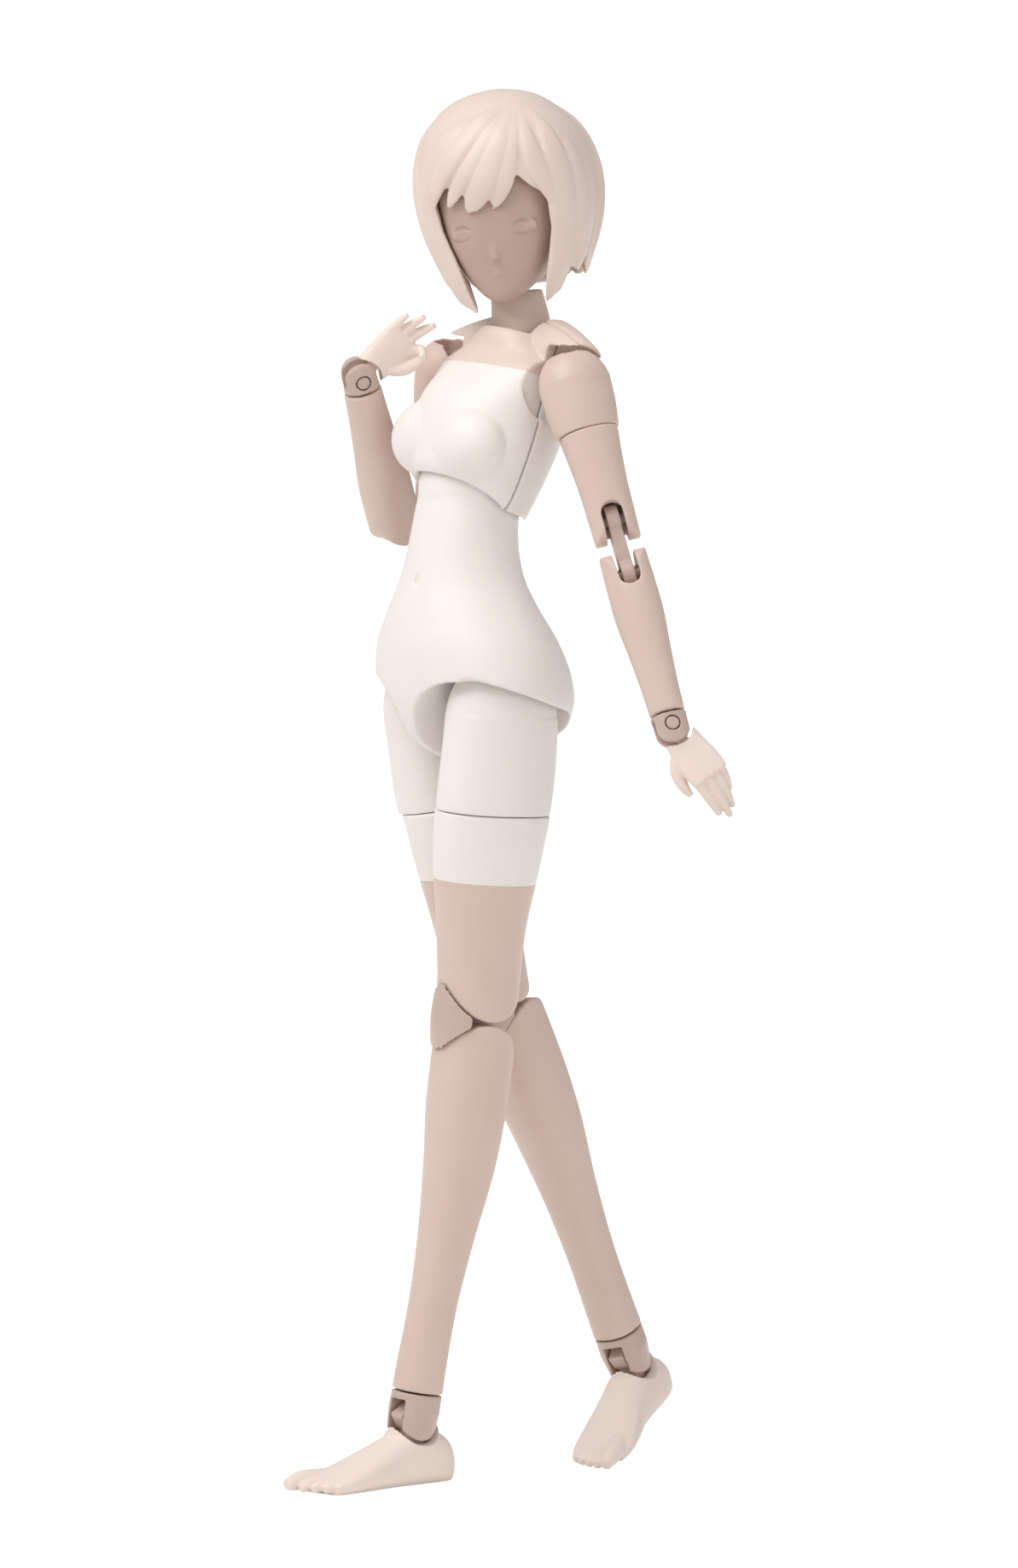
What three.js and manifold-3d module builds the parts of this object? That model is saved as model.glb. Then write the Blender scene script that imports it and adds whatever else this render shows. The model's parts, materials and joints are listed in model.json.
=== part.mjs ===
// A jointed action figure body, about one twelfth life size, standing in a walking pose.
// Millimetres, +Z up. The figure faces -Y, and its left side is +X. The floor is Z = 0.
// Every limb is drawn hanging straight down from its own joint, and nested groups then pose it.
import * as THREE from "three";
import { LoftGeometry } from "three/addons/geometries/LoftGeometry.js";
import { mergeVertices } from "three/addons/utils/BufferGeometryUtils.js";
import Module from "manifold-3d";

const wasm = await Module();
wasm.setup();

// Fits
const GAP = 0.22; // between pieces that turn against each other
const SEAT = 0.3; // round a peg, a pin or a ball in its socket

// Heights and spacings of the joints, measured on the figure as it stands straight
const LEG = { hipSpread: 6.6, thigh: 30, kneeSpan: 9.4, shin: 40.2, ankle: 8.3, swivel: 11 };
const ARM = { shoulderSpread: 12.6, upper: 16, elbowSpan: 6.6, fore: 18, swivel: 5.6 };
const SPINE = { waist: 25, shoulder: 13.4, neckBase: 15.5, neck: 10.4, neckBack: 2.4, shoulderBack: 1.6 };

// The walking pose, in degrees
const POSE = {
  waist: { back: 18.2, twist: 3 },
  neck: { tilt: -9.8, forward: 20.6 },
  head: { turn: 38.4, nod: -3.2 },
  left: {
    shoulderSwing: -22, shoulderRaise: 23, armSwivel: 61, elbowUpper: 1.9, elbowLower: 1.4,
    wristSwivel: -85, wristBend: -23.6, hipSwing: 3.1, hipSpread: -3.6, thighSwivel: -3.3,
    kneeUpper: -1.7, kneeLower: -3.6, ankleSwivel: 15.2, ankleTilt: -7.6, ankleRock: 5.6,
  },
  right: {
    shoulderSwing: -19.5, shoulderRaise: 10, armSwivel: -5.1, elbowUpper: 85.6, elbowLower: 72.9,
    wristSwivel: -22.3, wristBend: 61.7, hipSwing: -10.2, hipSpread: -2.1, thighSwivel: -20.2,
    kneeUpper: 14.9, kneeLower: -0.4, ankleSwivel: -12.5, ankleTilt: 4.2, ankleRock: 3,
  },
};

const PLASTIC = {
  torso: new THREE.MeshStandardMaterial({ color: 0xf4efeb, roughness: 0.55, metalness: 0 }),
  limb: new THREE.MeshStandardMaterial({ color: 0xdcc0ae, roughness: 0.5, metalness: 0 }),
  hand: new THREE.MeshStandardMaterial({ color: 0xf2ded2, roughness: 0.5, metalness: 0 }),
  hair: new THREE.MeshStandardMaterial({ color: 0xecd9cc, roughness: 0.55, metalness: 0 }),
  joint: new THREE.MeshStandardMaterial({ color: 0xd3bbb4, roughness: 0.45, metalness: 0 }),
};

const LINK_NECK = 50; // degrees round its ends at which a link's neck starts

const rad = THREE.MathUtils.degToRad;
const V = (x, y, z) => new THREE.Vector3(x, y, z);
const BIG = 60; // larger than any piece, for trimming blocks
const FINE = 0.12; // flat triangles closer than this to the curve are merged

// Closed geometry as a solid that can be joined and cut
function solid(geometry, matrix) {
  const g = new THREE.BufferGeometry().copy(geometry);
  if (matrix) g.applyMatrix4(matrix);
  g.deleteAttribute("normal");
  g.deleteAttribute("uv");
  const merged = mergeVertices(g, 1e-4);
  const triVerts = new Uint32Array(merged.index.array);
  if (matrix && matrix.determinant() < 0) triVerts.reverse();
  const mesh = new wasm.Mesh({ numProp: 3, vertProperties: merged.attributes.position.array, triVerts });
  return new wasm.Manifold(mesh);
}

function geometryOf(manifold) {
  const m = manifold.getMesh();
  const g = new THREE.BufferGeometry();
  g.setAttribute("position", new THREE.BufferAttribute(m.vertProperties, 3));
  g.setIndex(new THREE.BufferAttribute(m.triVerts, 1));
  return g;
}

const join = (first, ...rest) => rest.reduce((sum, s) => sum.add(s), first);
const cut = (first, ...rest) => rest.reduce((sum, s) => sum.subtract(s), first);

function place(x = 0, y = 0, z = 0, turnX = 0, turnY = 0, turnZ = 0) {
  const m = new THREE.Matrix4().makeRotationFromEuler(new THREE.Euler(rad(turnX), rad(turnY), rad(turnZ)));
  return m.setPosition(x, y, z);
}

const block = (w, d, h, x = 0, y = 0, z = 0) => solid(new THREE.BoxGeometry(w, d, h), place(x, y, z));
const ball = (r, x = 0, y = 0, z = 0, sides = 20) =>
  solid(new THREE.SphereGeometry(r, sides, Math.round(sides * 0.6)), place(x, y, z, 90));
const egg = (rx, ry, rz, x = 0, y = 0, z = 0, sides = 24) =>
  solid(
    new THREE.SphereGeometry(1, sides, Math.round(sides * 0.6)),
    place(x, y, z).multiply(new THREE.Matrix4().makeScale(rx, ry, rz)),
  );
const rodX = (r, length, x = 0, y = 0, z = 0, sides = 14) =>
  solid(new THREE.CylinderGeometry(r, r, length, sides), place(x, y, z, 0, 0, 90));
const rodY = (r, length, x = 0, y = 0, z = 0, sides = 24) =>
  solid(new THREE.CylinderGeometry(r, r, length, sides), place(x, y, z));
const rodZ = (r, length, x = 0, y = 0, z = 0, sides = 24) =>
  solid(new THREE.CylinderGeometry(r, r, length, sides), place(x, y, z, 90));

// One cross section: w is half the width, f and b reach to the front and the back, and n squares it up
function ring({ z, w, f, b = f, n = 2.2, x = 0, y = 0 }, sides) {
  const points = [];
  for (let i = 0; i < sides; i++) {
    const t = (i / sides) * 2 * Math.PI;
    const c = Math.cos(t);
    const s = Math.sin(t);
    const across = Math.sign(c) * Math.abs(c) ** (2 / n);
    const along = Math.sign(s) * Math.abs(s) ** (2 / n);
    points.push(V(x + w * across, y + (s < 0 ? f : b) * along, z));
  }
  return points;
}

// Key sections from low to high, with smooth ones worked out between them
function smoothSections(keys, count) {
  const fields = ["w", "f", "b", "n", "x", "y"];
  const full = keys.map((k) => ({ n: 2.2, x: 0, y: 0, b: k.f, ...k }));
  const heights = Float32Array.from(full, (k) => k.z);
  const values = Float32Array.from(full.flatMap((k) => fields.map((name) => k[name])));
  const between = new THREE.CubicInterpolant(heights, values, fields.length);
  const low = heights[0];
  const span = heights[heights.length - 1] - low;
  return Array.from({ length: count }, (_, i) => {
    const z = low + (span * i) / (count - 1);
    const at = between.evaluate(z);
    return { z, ...Object.fromEntries(fields.map((name, k) => [name, at[k]])) };
  });
}

function loft(keys, count, sides) {
  const rings = smoothSections(keys, count).map((s) => ring(s, sides));
  return solid(new LoftGeometry(rings, { capStart: true, capEnd: true }));
}

// A tapered finger, lock or toe along a curve through points, each with its own radii
function taper(points, radii, { flat = 1, steps = 8, sides = 8, up = V(0, 1, 0) } = {}) {
  const curve = new THREE.CatmullRomCurve3(points);
  const size = new THREE.CubicInterpolant(
    Float32Array.from(radii, (_, i) => i / (radii.length - 1)),
    Float32Array.from(radii),
    1,
  );
  const rings = [];
  for (let i = 0; i <= steps; i++) {
    const t = i / steps;
    const tangent = curve.getTangentAt(t);
    const side = tangent.clone().cross(up).normalize();
    const over = side.clone().cross(tangent).normalize();
    const r = size.evaluate(t)[0];
    const centre = curve.getPointAt(t);
    const at = (angle) =>
      centre.clone().addScaledVector(side, r * Math.cos(angle)).addScaledVector(over, r * flat * Math.sin(angle));
    rings.push(Array.from({ length: sides }, (_, k) => at((-k / sides) * 2 * Math.PI)));
  }
  return solid(new LoftGeometry(rings, { capStart: true, capEnd: true }));
}

// An outline in the side view, as [y, z] points, extruded across X
function sideProfile(outline, width, x = 0) {
  const shape = new THREE.Shape(outline.map(([y, z]) => new THREE.Vector2(y, z)));
  const g = new THREE.ExtrudeGeometry(shape, { depth: width, bevelEnabled: false });
  const turn = new THREE.Matrix4().makeBasis(V(0, 1, 0), V(0, 0, 1), V(1, 0, 0));
  return solid(g, turn.setPosition(x - width / 2, 0, 0));
}

function arc(cy, cz, r, from, to, steps) {
  return Array.from({ length: steps + 1 }, (_, i) => {
    const a = rad(from + ((to - from) * i) / steps);
    return [cy + r * Math.cos(a), cz + r * Math.sin(a)];
  });
}

const mirrorX = new THREE.Matrix4().makeScale(-1, 1, 1);
const forSide = (manifold, side) => (side > 0 ? manifold : solid(geometryOf(manifold), mirrorX));

// One piece: simplified, with any speck the simplifying left behind dropped
function mesh(name, manifold, material) {
  const bodies = manifold.simplify(FINE).decompose();
  bodies.sort((p, q) => q.volume() - p.volume());
  if (bodies.length > 1 && bodies[1].volume() > 0.01) throw new Error(name + " is in separate pieces");
  const m = new THREE.Mesh(geometryOf(bodies[0]), material);
  m.name = name;
  return m;
}

// Legs

const KNEE = { r: 4.5, tongue: 2.6, tongueR: 3.1, pinR: 0.8, pinLength: 6, capInner: -2.4 };
const THIGH = {
  domeW: 4.85, domeR: 6.7, domeX: 0.35,
  keys: [
    { z: -LEG.thigh - KNEE.r - 1, w: 4.3, f: 4.5, b: 4.5 },
    { z: -LEG.thigh, w: 4.4, f: 4.7, b: 4.6 },
    { z: -24, w: 4.6, f: 5.4, b: 4.8 },
    { z: -17, w: 5.0, f: 6.4, b: 5.9, x: 0.1 },
    { z: -10, w: 5.0, f: 6.9, b: 6.7, x: 0.4 },
    { z: -4, w: 4.9, f: 6.7, b: 6.9, x: 0.4 },
    { z: 1, w: 4.8, f: 6.6, b: 6.6, x: 0.35 },
  ],
};
const SHIN = {
  keys: [
    { z: -LEG.shin + 1.6, w: 2.75, f: 2.8, b: 3.0 },
    { z: -35, w: 2.7, f: 2.7, b: 2.9 },
    { z: -28, w: 2.8, f: 2.8, b: 3.1 },
    { z: -20, w: 3.2, f: 3.4, b: 3.9 },
    { z: -12, w: 4.0, f: 4.1, b: 4.9 },
    { z: -5, w: 4.3, f: 4.5, b: 5.0 },
    { z: KNEE.r + 1, w: 4.3, f: 4.6, b: 4.6 },
  ],
};

// The thigh in one piece: a domed top on the hip and a round end on the knee hinge
function wholeThigh() {
  const shaft = loft(THIGH.keys, 11, 20);
  const dome = egg(THIGH.domeW, THIGH.domeR, THIGH.domeR, THIGH.domeX, 0, 0, 20);
  const end = [
    ...arc(0, -LEG.thigh, KNEE.r, 180, 360, 16),
    [8, -LEG.thigh],
    [8, 0],
    [-8, 0],
    [-8, -LEG.thigh],
  ];
  const trimmed = shaft.intersect(sideProfile(end, 20));
  return join(trimmed, dome);
}

// The room a flat link needs in a round end: a disc at the pin, open below and on the side it folds to
function linkSlot(link, z, down, fold) {
  const width = link.tongue + 2 * (link.play ?? GAP);
  const r = link.tongueR + SEAT;
  const neck = link.tongueR * Math.cos(rad(LINK_NECK)) + SEAT;
  return join(
    rodX(r, width, 0, 0, z, 16),
    block(width, 2 * r, 8, 0, 0, z + down * 4),
    block(width, 8, 8 + neck, 0, fold * 4, z + down * (8 - neck) / 2),
    ...(link.play ? [rodY(width / 2, 8, 0, fold * 4, z - down * neck, 14)] : []),
    rodX(link.pinR + SEAT, link.pinLength + 2 * GAP, 0, 0, z, 10),
  );
}

function linkPlate(link, span) {
  const r = link.tongueR;
  const outline = [
    ...arc(0, 0, r, -LINK_NECK, 180 + LINK_NECK, 14),
    ...arc(0, -span, r, 180 - LINK_NECK, 360 + LINK_NECK, 14),
  ];
  return sideProfile(outline, link.tongue);
}

function linkBores(link, span) {
  return join(rodX(link.pinR + SEAT, 9, 0, 0, 0, 10), rodX(link.pinR + SEAT, 9, 0, 0, -span, 10));
}

function lowerThigh() {
  const low = cut(wholeThigh(), block(BIG, BIG, BIG, 0, 0, -LEG.swivel - GAP + BIG / 2));
  return cut(join(low, SWIVEL.peg(-LEG.swivel, 1)), linkSlot(KNEE, -LEG.thigh, -1, 1));
}

// A swivel peg that stands up from the lower piece into the upper one
const SWIVEL = {
  pegR: 2.1, pegHeight: 4, headR: 2.6, headHeight: 1.2,
  peg(z, scale) {
    const height = this.pegHeight * scale;
    const stem = rodZ(this.pegR * scale, height + 1, 0, 0, z + (height - 1) / 2, 12);
    const head = rodZ(this.headR * scale, this.headHeight * scale, 0, 0, z + this.pegHeight * scale, 12);
    return join(stem, head);
  },
  socket(z, scale) {
    const height = (this.pegHeight + this.headHeight / 2) * scale + SEAT;
    const stem = rodZ(this.pegR * scale + SEAT, height + 1, 0, 0, z + (height - 1) / 2, 12);
    const headZ = z + this.pegHeight * scale;
    const head = rodZ(this.headR * scale + SEAT, this.headHeight * scale + 2 * SEAT, 0, 0, headZ, 12);
    return join(stem, head);
  },
};

// The kneecap fills the front between the two round ends, and its tongue joins both hinges
function kneeBlock() {
  const span = LEG.kneeSpan;
  const cap = [
    { z: -span - 0.2, w: 4.3, f: 4.5 },
    { z: -span / 2, w: 4.5, f: 5.0 },
    { z: 0.2, w: 4.4, f: 4.6 },
  ];
  const front = cut(
    loft(cap, 5, 20),
    block(BIG, BIG, BIG, 0, KNEE.capInner + BIG / 2, 0),
    rodX(KNEE.r + GAP, 20, 0, 0, 0, 24),
    rodX(KNEE.r + GAP, 20, 0, 0, -span, 24),
  );
  const web = block(KNEE.tongue, 2.6, 2.4, 0, -2.3, -span / 2);
  return cut(join(front, linkPlate(KNEE, span), web), linkBores(KNEE, span));
}

const kneePin = () => rodX(KNEE.pinR, KNEE.pinLength, 0, 0, 0, 10);

const ANKLE = {
  pinZ: 0.2, tongue: 1.9, tongueR: 1.1, pinR: 0.55, top: 2.1, roundR: 3.3, ballR: 1.2, ballZ: -4.4, rock: 12,
  wing: 2.65, wingDrop: 8, tilt: 25,
};

function shin() {
  const low = -LEG.shin + ANKLE.top + GAP;
  const end = [...arc(0, 0, KNEE.r, 0, 180, 16), [-8, 0], [-8, low], [8, low], [8, 0]];
  const body = loft(SHIN.keys, 12, 20).intersect(sideProfile(end, 20));
  const socket = rodZ(1.2 + SEAT, 5, 0, 0, low + 2, 10);
  return cut(body, linkSlot(KNEE, 0, 1, 1), socket);
}

// The fork turns in the shin by its peg, and its two cheeks hold the tilting tongue
function ankleFork() {
  const band = loft(
    [
      { z: -4, w: 2.0, f: 2.7, b: 2.9 },
      { z: 0, w: 2.75, f: 2.9, b: 3.05 },
      { z: ANKLE.top, w: 2.72, f: 2.8, b: 3.0 },
    ],
    4,
    18,
  );
  const low = arc(0, ANKLE.pinZ, ANKLE.roundR, 180, 360, 14);
  const end = [...low, [8, ANKLE.pinZ], [8, 8], [-8, 8], [-8, ANKLE.pinZ]];
  const slotTop = ANKLE.pinZ + ANKLE.wing * Math.sin(rad(ANKLE.tilt - ANKLE.wingDrop)) + SEAT;
  const width = ANKLE.tongue + 2 * GAP;
  const slot = join(block(width, 8, 6, 0, 0, slotTop - 3), rodX(ANKLE.tongueR + SEAT, width, 0, 0, ANKLE.pinZ, 14));
  const bore = rodX(ANKLE.pinR + SEAT / 2, 4.4, 0, 0, ANKLE.pinZ, 10);
  return join(cut(band.intersect(sideProfile(end, 8)), slot, bore), rodZ(1.2, 4.6, 0, 0, ANKLE.top + 1.8, 10));
}

function ankleTongue() {
  const r = ANKLE.tongueR;
  const outline = [
    ...arc(0, ANKLE.pinZ, r, 30, 150, 8),
    ...arc(0, ANKLE.pinZ, ANKLE.wing, 180 + ANKLE.wingDrop, 245, 6),
    [-r, ANKLE.ballZ + 0.5],
    [r, ANKLE.ballZ + 0.5],
    ...arc(0, ANKLE.pinZ, ANKLE.wing, 295, 360 - ANKLE.wingDrop, 6),
  ];
  const plate = sideProfile(outline, ANKLE.tongue);
  const rocker = rodY(ANKLE.ballR, 2.2, 0, 0, ANKLE.ballZ, 12);
  return cut(join(plate, rocker), rodX(ANKLE.pinR + SEAT / 2, 4, 0, 0, ANKLE.pinZ, 10));
}

const anklePin = () => rodX(ANKLE.pinR, 3.9, 0, 0, ANKLE.pinZ, 10);

// The foot, drawn flat on the floor below the ankle
const FOOT = {
  top: -1.5,
  // y along the foot, half width, height above the floor, sideways shift
  keys: [
    { y: 5.4, w: 1.3, h: 3.0, x: 0 },
    { y: 4.7, w: 2.2, h: 4.8, x: 0 },
    { y: 2.6, w: 2.8, h: 6.0, x: 0 },
    { y: -1.0, w: 2.9, h: 6.3, x: 0 },
    { y: -4.5, w: 3.0, h: 5.2, x: 0 },
    { y: -8.5, w: 3.6, h: 3.6, x: -0.1 },
    { y: -12, w: 3.8, h: 2.4, x: -0.2 },
    { y: -13.6, w: 3.2, h: 1.8, x: -0.3 },
  ],
  toes: [
    { x: -2.5, tip: -16.6, r: 1.12 },
    { x: -0.95, tip: -15.8, r: 0.82 },
    { x: 0.35, tip: -15.2, r: 0.76 },
    { x: 1.55, tip: -14.5, r: 0.72 },
    { x: 2.65, tip: -13.6, r: 0.68 },
  ],
};

function foot() {
  const floor = -LEG.ankle;
  const keys = FOOT.keys.map((k) => ({ z: -k.y, w: k.w, f: k.h / 2, b: k.h / 2, x: k.x, y: k.h / 2, n: 2.4 }));
  const lay = (p) => V(p.x, -p.z, floor - 0.3 + p.y * 1.04);
  const rings = smoothSections(keys, 12).map((s) => ring(s, 16).map(lay));
  const body = solid(new LoftGeometry(rings, { capStart: true, capEnd: true }));
  const toes = FOOT.toes.map((t) => {
    const path = [
      V(t.x * 0.9, -11, floor + t.r + 0.4),
      V(t.x, (t.tip - 12) / 2, floor + t.r + 0.25),
      V(t.x, t.tip, floor + t.r - 0.1),
    ];
    return taper(path, [t.r * 0.9, t.r, t.r * 0.5], { steps: 4, sides: 7, up: V(0, 0, 1) });
  });
  const column = loft(
    [
      { z: floor + 2, w: 2.7, f: 3.2, b: 3.4, y: 0.3 },
      { z: floor + 4.8, w: 2.85, f: 3.2, b: 3.3, y: 0.1 },
      { z: ANKLE.pinZ, w: 2.7, f: 2.9, b: 3.0 },
    ],
    4,
    16,
  );
  const low = join(body, ...toes);
  const level = cut(join(low, column), block(BIG, BIG, BIG, 0, 0, floor - BIG / 2));
  const hollows = [-ANKLE.rock, 0, ANKLE.rock].map((turn) => {
    const round = rodX(ANKLE.roundR + GAP, 12, 0, 0, ANKLE.pinZ - ANKLE.ballZ, 24);
    return round.rotate([0, turn, 0]).translate([0, 0, ANKLE.ballZ]);
  });
  const above = block(BIG, BIG, BIG, 0, 0, FOOT.top + BIG / 2);
  const seat = rodY(ANKLE.ballR + SEAT, 2.2 + 2 * SEAT, 0, 0, ANKLE.ballZ, 12);
  const mouth = block(ANKLE.tongue + 1.3, 2 * ANKLE.tongueR + 1, 4, 0, 0, ANKLE.ballZ + 2);
  return cut(level, ...hollows, above, seat, mouth);
}

// Hips and abdomen

const HIP = {
  flexion: 62, extension: 26, inward: 12, outward: 25,
  hubR: 2.0, disc: 2.0, discR: 2.4, pinR: 0.8, pinLength: 7.4,
  axleR: 1.0, axleHalf: 2.5, wall: 1.75, barrelEnd: -3.3, bridge: 2.8,
  openingZ: 2.6, openingFall: 19,
};

// What a thigh sweeps as it swings, as a side outline with rounded edges
function thighSweep() {
  const round = 2.4;
  const inner = THIGH.domeR + GAP - round;
  const forwardLeg = 270 - HIP.flexion;
  const backLeg = 270 + HIP.extension;
  const reach = 26;
  const from = [inner * Math.cos(rad(backLeg - 270)), inner * Math.sin(rad(backLeg - 270))];
  const to = [inner * Math.cos(rad(forwardLeg - 90)), inner * Math.sin(rad(forwardLeg - 90))];
  const along = (angle, [y, z]) => [y + reach * Math.cos(rad(angle)), z + reach * Math.sin(rad(angle))];
  const top = arc(0, 0, inner, backLeg - 270, forwardLeg - 90, 9);
  const outline = [along(backLeg, from), ...top, along(forwardLeg, to)];
  const shape = new THREE.Shape(outline.map(([y, z]) => new THREE.Vector2(y, z)));
  const width = 2 * (THIGH.domeW + 0.45);
  const g = new THREE.ExtrudeGeometry(shape, {
    depth: width - 2 * round,
    bevelThickness: round,
    bevelSize: round,
    bevelSegments: 2,
  });
  const turn = new THREE.Matrix4().makeBasis(V(0, 1, 0), V(0, 0, 1), V(1, 0, 0));
  return solid(g, turn.setPosition(THIGH.domeX - width / 2 + round, 0, 0));
}

const PELVIS = {
  keys: [
    { z: -5.8, w: 1.5, f: 2.0, b: 2.8, y: 0.4 },
    { z: -4.8, w: 4.6, f: 4.8, b: 6.4, y: 0.4 },
    { z: -2.8, w: 10.0, f: 7.2, b: 9.8 },
    { z: 0.4, w: 12.8, f: 8.6, b: 10.8 },
    { z: 4, w: 13.1, f: 9.2, b: 10.4 },
    { z: 8, w: 11.8, f: 9.4, b: 8.8 },
    { z: 12, w: 9.3, f: 8.6, b: 6.6 },
    { z: 15, w: 7.6, f: 7.7, b: 5.4 },
    { z: 18, w: 6.7, f: 7.0, b: 4.9 },
    { z: 21, w: 6.4, f: 6.3, b: 4.9 },
    { z: 24.4, w: 6.35, f: 5.4, b: 5.3 },
  ],
};
const WAIST = {
  domeW: 6.4, domeR: 5.6, slot: 2.4, tongueR: 2.6, pinR: 0.9, pinLength: 7, stemR: 2.6, headR: 3.4, rimZ: 0.3,
};

function pelvis() {
  const dome = egg(WAIST.domeW, WAIST.domeR, WAIST.domeR, 0, 0, SPINE.waist, 24);
  const body = join(loft(PELVIS.keys, 15, 24), dome);
  const cuts = [];
  for (const side of [1, -1]) {
    for (const turn of [HIP.inward, 0, -HIP.outward / 2]) {
      const sweep = forSide(thighSweep().rotate([0, turn, 0]), side);
      cuts.push(sweep.translate([side * LEG.hipSpread, 0, 0]));
    }
    const outside = block(8, 60, 24, 0, 0, -12).rotate([-HIP.openingFall, 0, 0]);
    cuts.push(outside.translate([side * (LEG.hipSpread + 4.5 + 4), 0, HIP.openingZ]));
  }
  cuts.push(rodX(HIP.axleR + SEAT / 2, 4, 0, 0, 0, 12));
  // the waist tongue stands in a slot, on a pin from side to side
  const slot = join(
    rodX(WAIST.tongueR + SEAT, WAIST.slot + 2 * GAP, 0, 0, SPINE.waist),
    block(WAIST.slot + 2 * GAP, 2 * (WAIST.tongueR + SEAT) + 3.4, 8, 0, 0, SPINE.waist + 4),
  );
  return cut(body, ...cuts, slot, rodX(WAIST.pinR + SEAT, WAIST.pinLength + 2 * GAP, 0, 0, SPINE.waist, 10));
}

const waistPin = () => rodX(WAIST.pinR, WAIST.pinLength, 0, 0, 0, 10);

// The waist tongue bends on its pin, and its round head turns inside the chest
function waistTongue() {
  const outline = [...arc(0, 0, WAIST.tongueR, 180, 360, 12), [WAIST.tongueR, 6.4], [-WAIST.tongueR, 6.4]];
  const plate = sideProfile(outline, WAIST.slot);
  const stem = rodZ(WAIST.stemR, 2.6, 0, 0, 7.2, 12);
  const head = rodZ(WAIST.headR, 1.8, 0, 0, 9, 12);
  return cut(join(plate, stem, head), rodX(WAIST.pinR + SEAT / 2, 8, 0, 0, 0, 10));
}

// Hip hub: a barrel on the axle, and a flat disc inside the top of the thigh
function hipHub() {
  const start = -LEG.hipSpread + HIP.wall;
  const length = HIP.barrelEnd - start;
  const barrel = rodX(HIP.hubR, length, start + length / 2, 0, 0, 14);
  const bore = rodX(HIP.axleR + SEAT, 2 * (HIP.axleHalf + SEAT), -LEG.hipSpread, 0, 0, 12);
  const bridge = block(-HIP.barrelEnd + 0.4, HIP.disc, HIP.bridge, (HIP.barrelEnd - 0.4) / 2, 0, 0);
  const disc = rodY(HIP.discR, HIP.disc, 0, 0, 0, 16);
  return cut(join(cut(barrel, bore), bridge, disc), rodY(HIP.pinR + SEAT / 2, 8, 0, 0, 0, 10));
}
const hipAxle = () => rodX(HIP.axleR, 2 * HIP.axleHalf, 0, 0, 0, 12);
const hipPin = () => rodY(HIP.pinR, HIP.pinLength, 0, 0, 0, 10);

// The room the hub needs in the thigh, at each of the ways the thigh can stand against it
function hubRoom() {
  const room = rodY(HIP.discR + SEAT, HIP.disc + 2 * GAP, 0, 0, 0, 16);
  const ways = [-HIP.inward, 0, 10, 20, HIP.outward].map((turn) => {
    const far = join(
      rodX(HIP.hubR + SEAT, 8, HIP.barrelEnd + SEAT - 4, 0, 0, 12),
      block(8, HIP.disc + 2 * GAP, HIP.bridge + 2 * GAP, -4, 0, 0),
    );
    return far.rotate([0, turn, 0]);
  });
  return join(room, ...ways);
}

function upperThigh() {
  const top = cut(wholeThigh(), block(BIG, BIG, BIG, 0, 0, -LEG.swivel - BIG / 2));
  const bore = rodY(HIP.pinR + SEAT, HIP.pinLength + 2 * GAP, 0, 0, 0, 10);
  return cut(top, SWIVEL.socket(-LEG.swivel, 1), hubRoom(), bore);
}

// Chest

const CHEST = {
  keys: [
    { z: -1.8, w: 7.6, f: 2.6, b: 4.4, y: 1.5 },
    { z: WAIST.rimZ, w: 8.2, f: 6.6, b: 6.2, y: 0.4 },
    { z: 3, w: 8.7, f: 7.4, b: 7.2 },
    { z: 6, w: 9.0, f: 7.7, b: 7.7 },
    { z: 9, w: 9.1, f: 7.3, b: 8.0 },
    { z: 12, w: 9.7, f: 6.0, b: 7.6, y: 0.4 },
    { z: 14.2, w: 10.2, f: 5.0, b: 6.6, y: 0.8 },
    { z: 16, w: 8.2, f: 4.1, b: 5.4, y: 1.4 },
    { z: 17.2, w: 6.0, f: 4.6, b: 4.6, y: 2.0 },
    { z: 18.4, w: 4.7, f: 4.6, b: 4.0, y: 2.3 },
  ],
  bust: { w: 4.9, d: 3.9, h: 5.0, x: 4.2, y: -4.5, z: 3.0 },
  // the line of the shoulders on one side, from the neck out to the cap, with its radii
  yoke: [[0, 2.8, 18.9], [4.6, 2.6, 18.5], [8.8, 2.1, 16.9], [14.0, 1.8, 15.9]],
  yokeR: [3.4, 3.4, 3.0, 2.3],
  split: 0.6,
};
const SHOULDER = {
  capR: 4.1, recessR: 4.55, recessX: 8.5, hubR: 1.7, disc: 1.8, discR: 1.9, pinR: 0.65, pinLength: 5.6,
};
const NECK = { r: 3.0, ballR: 2.9, topR: 2.5, slot: 1.6, pinR: 0.5, postR: 1.2 };

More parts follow.
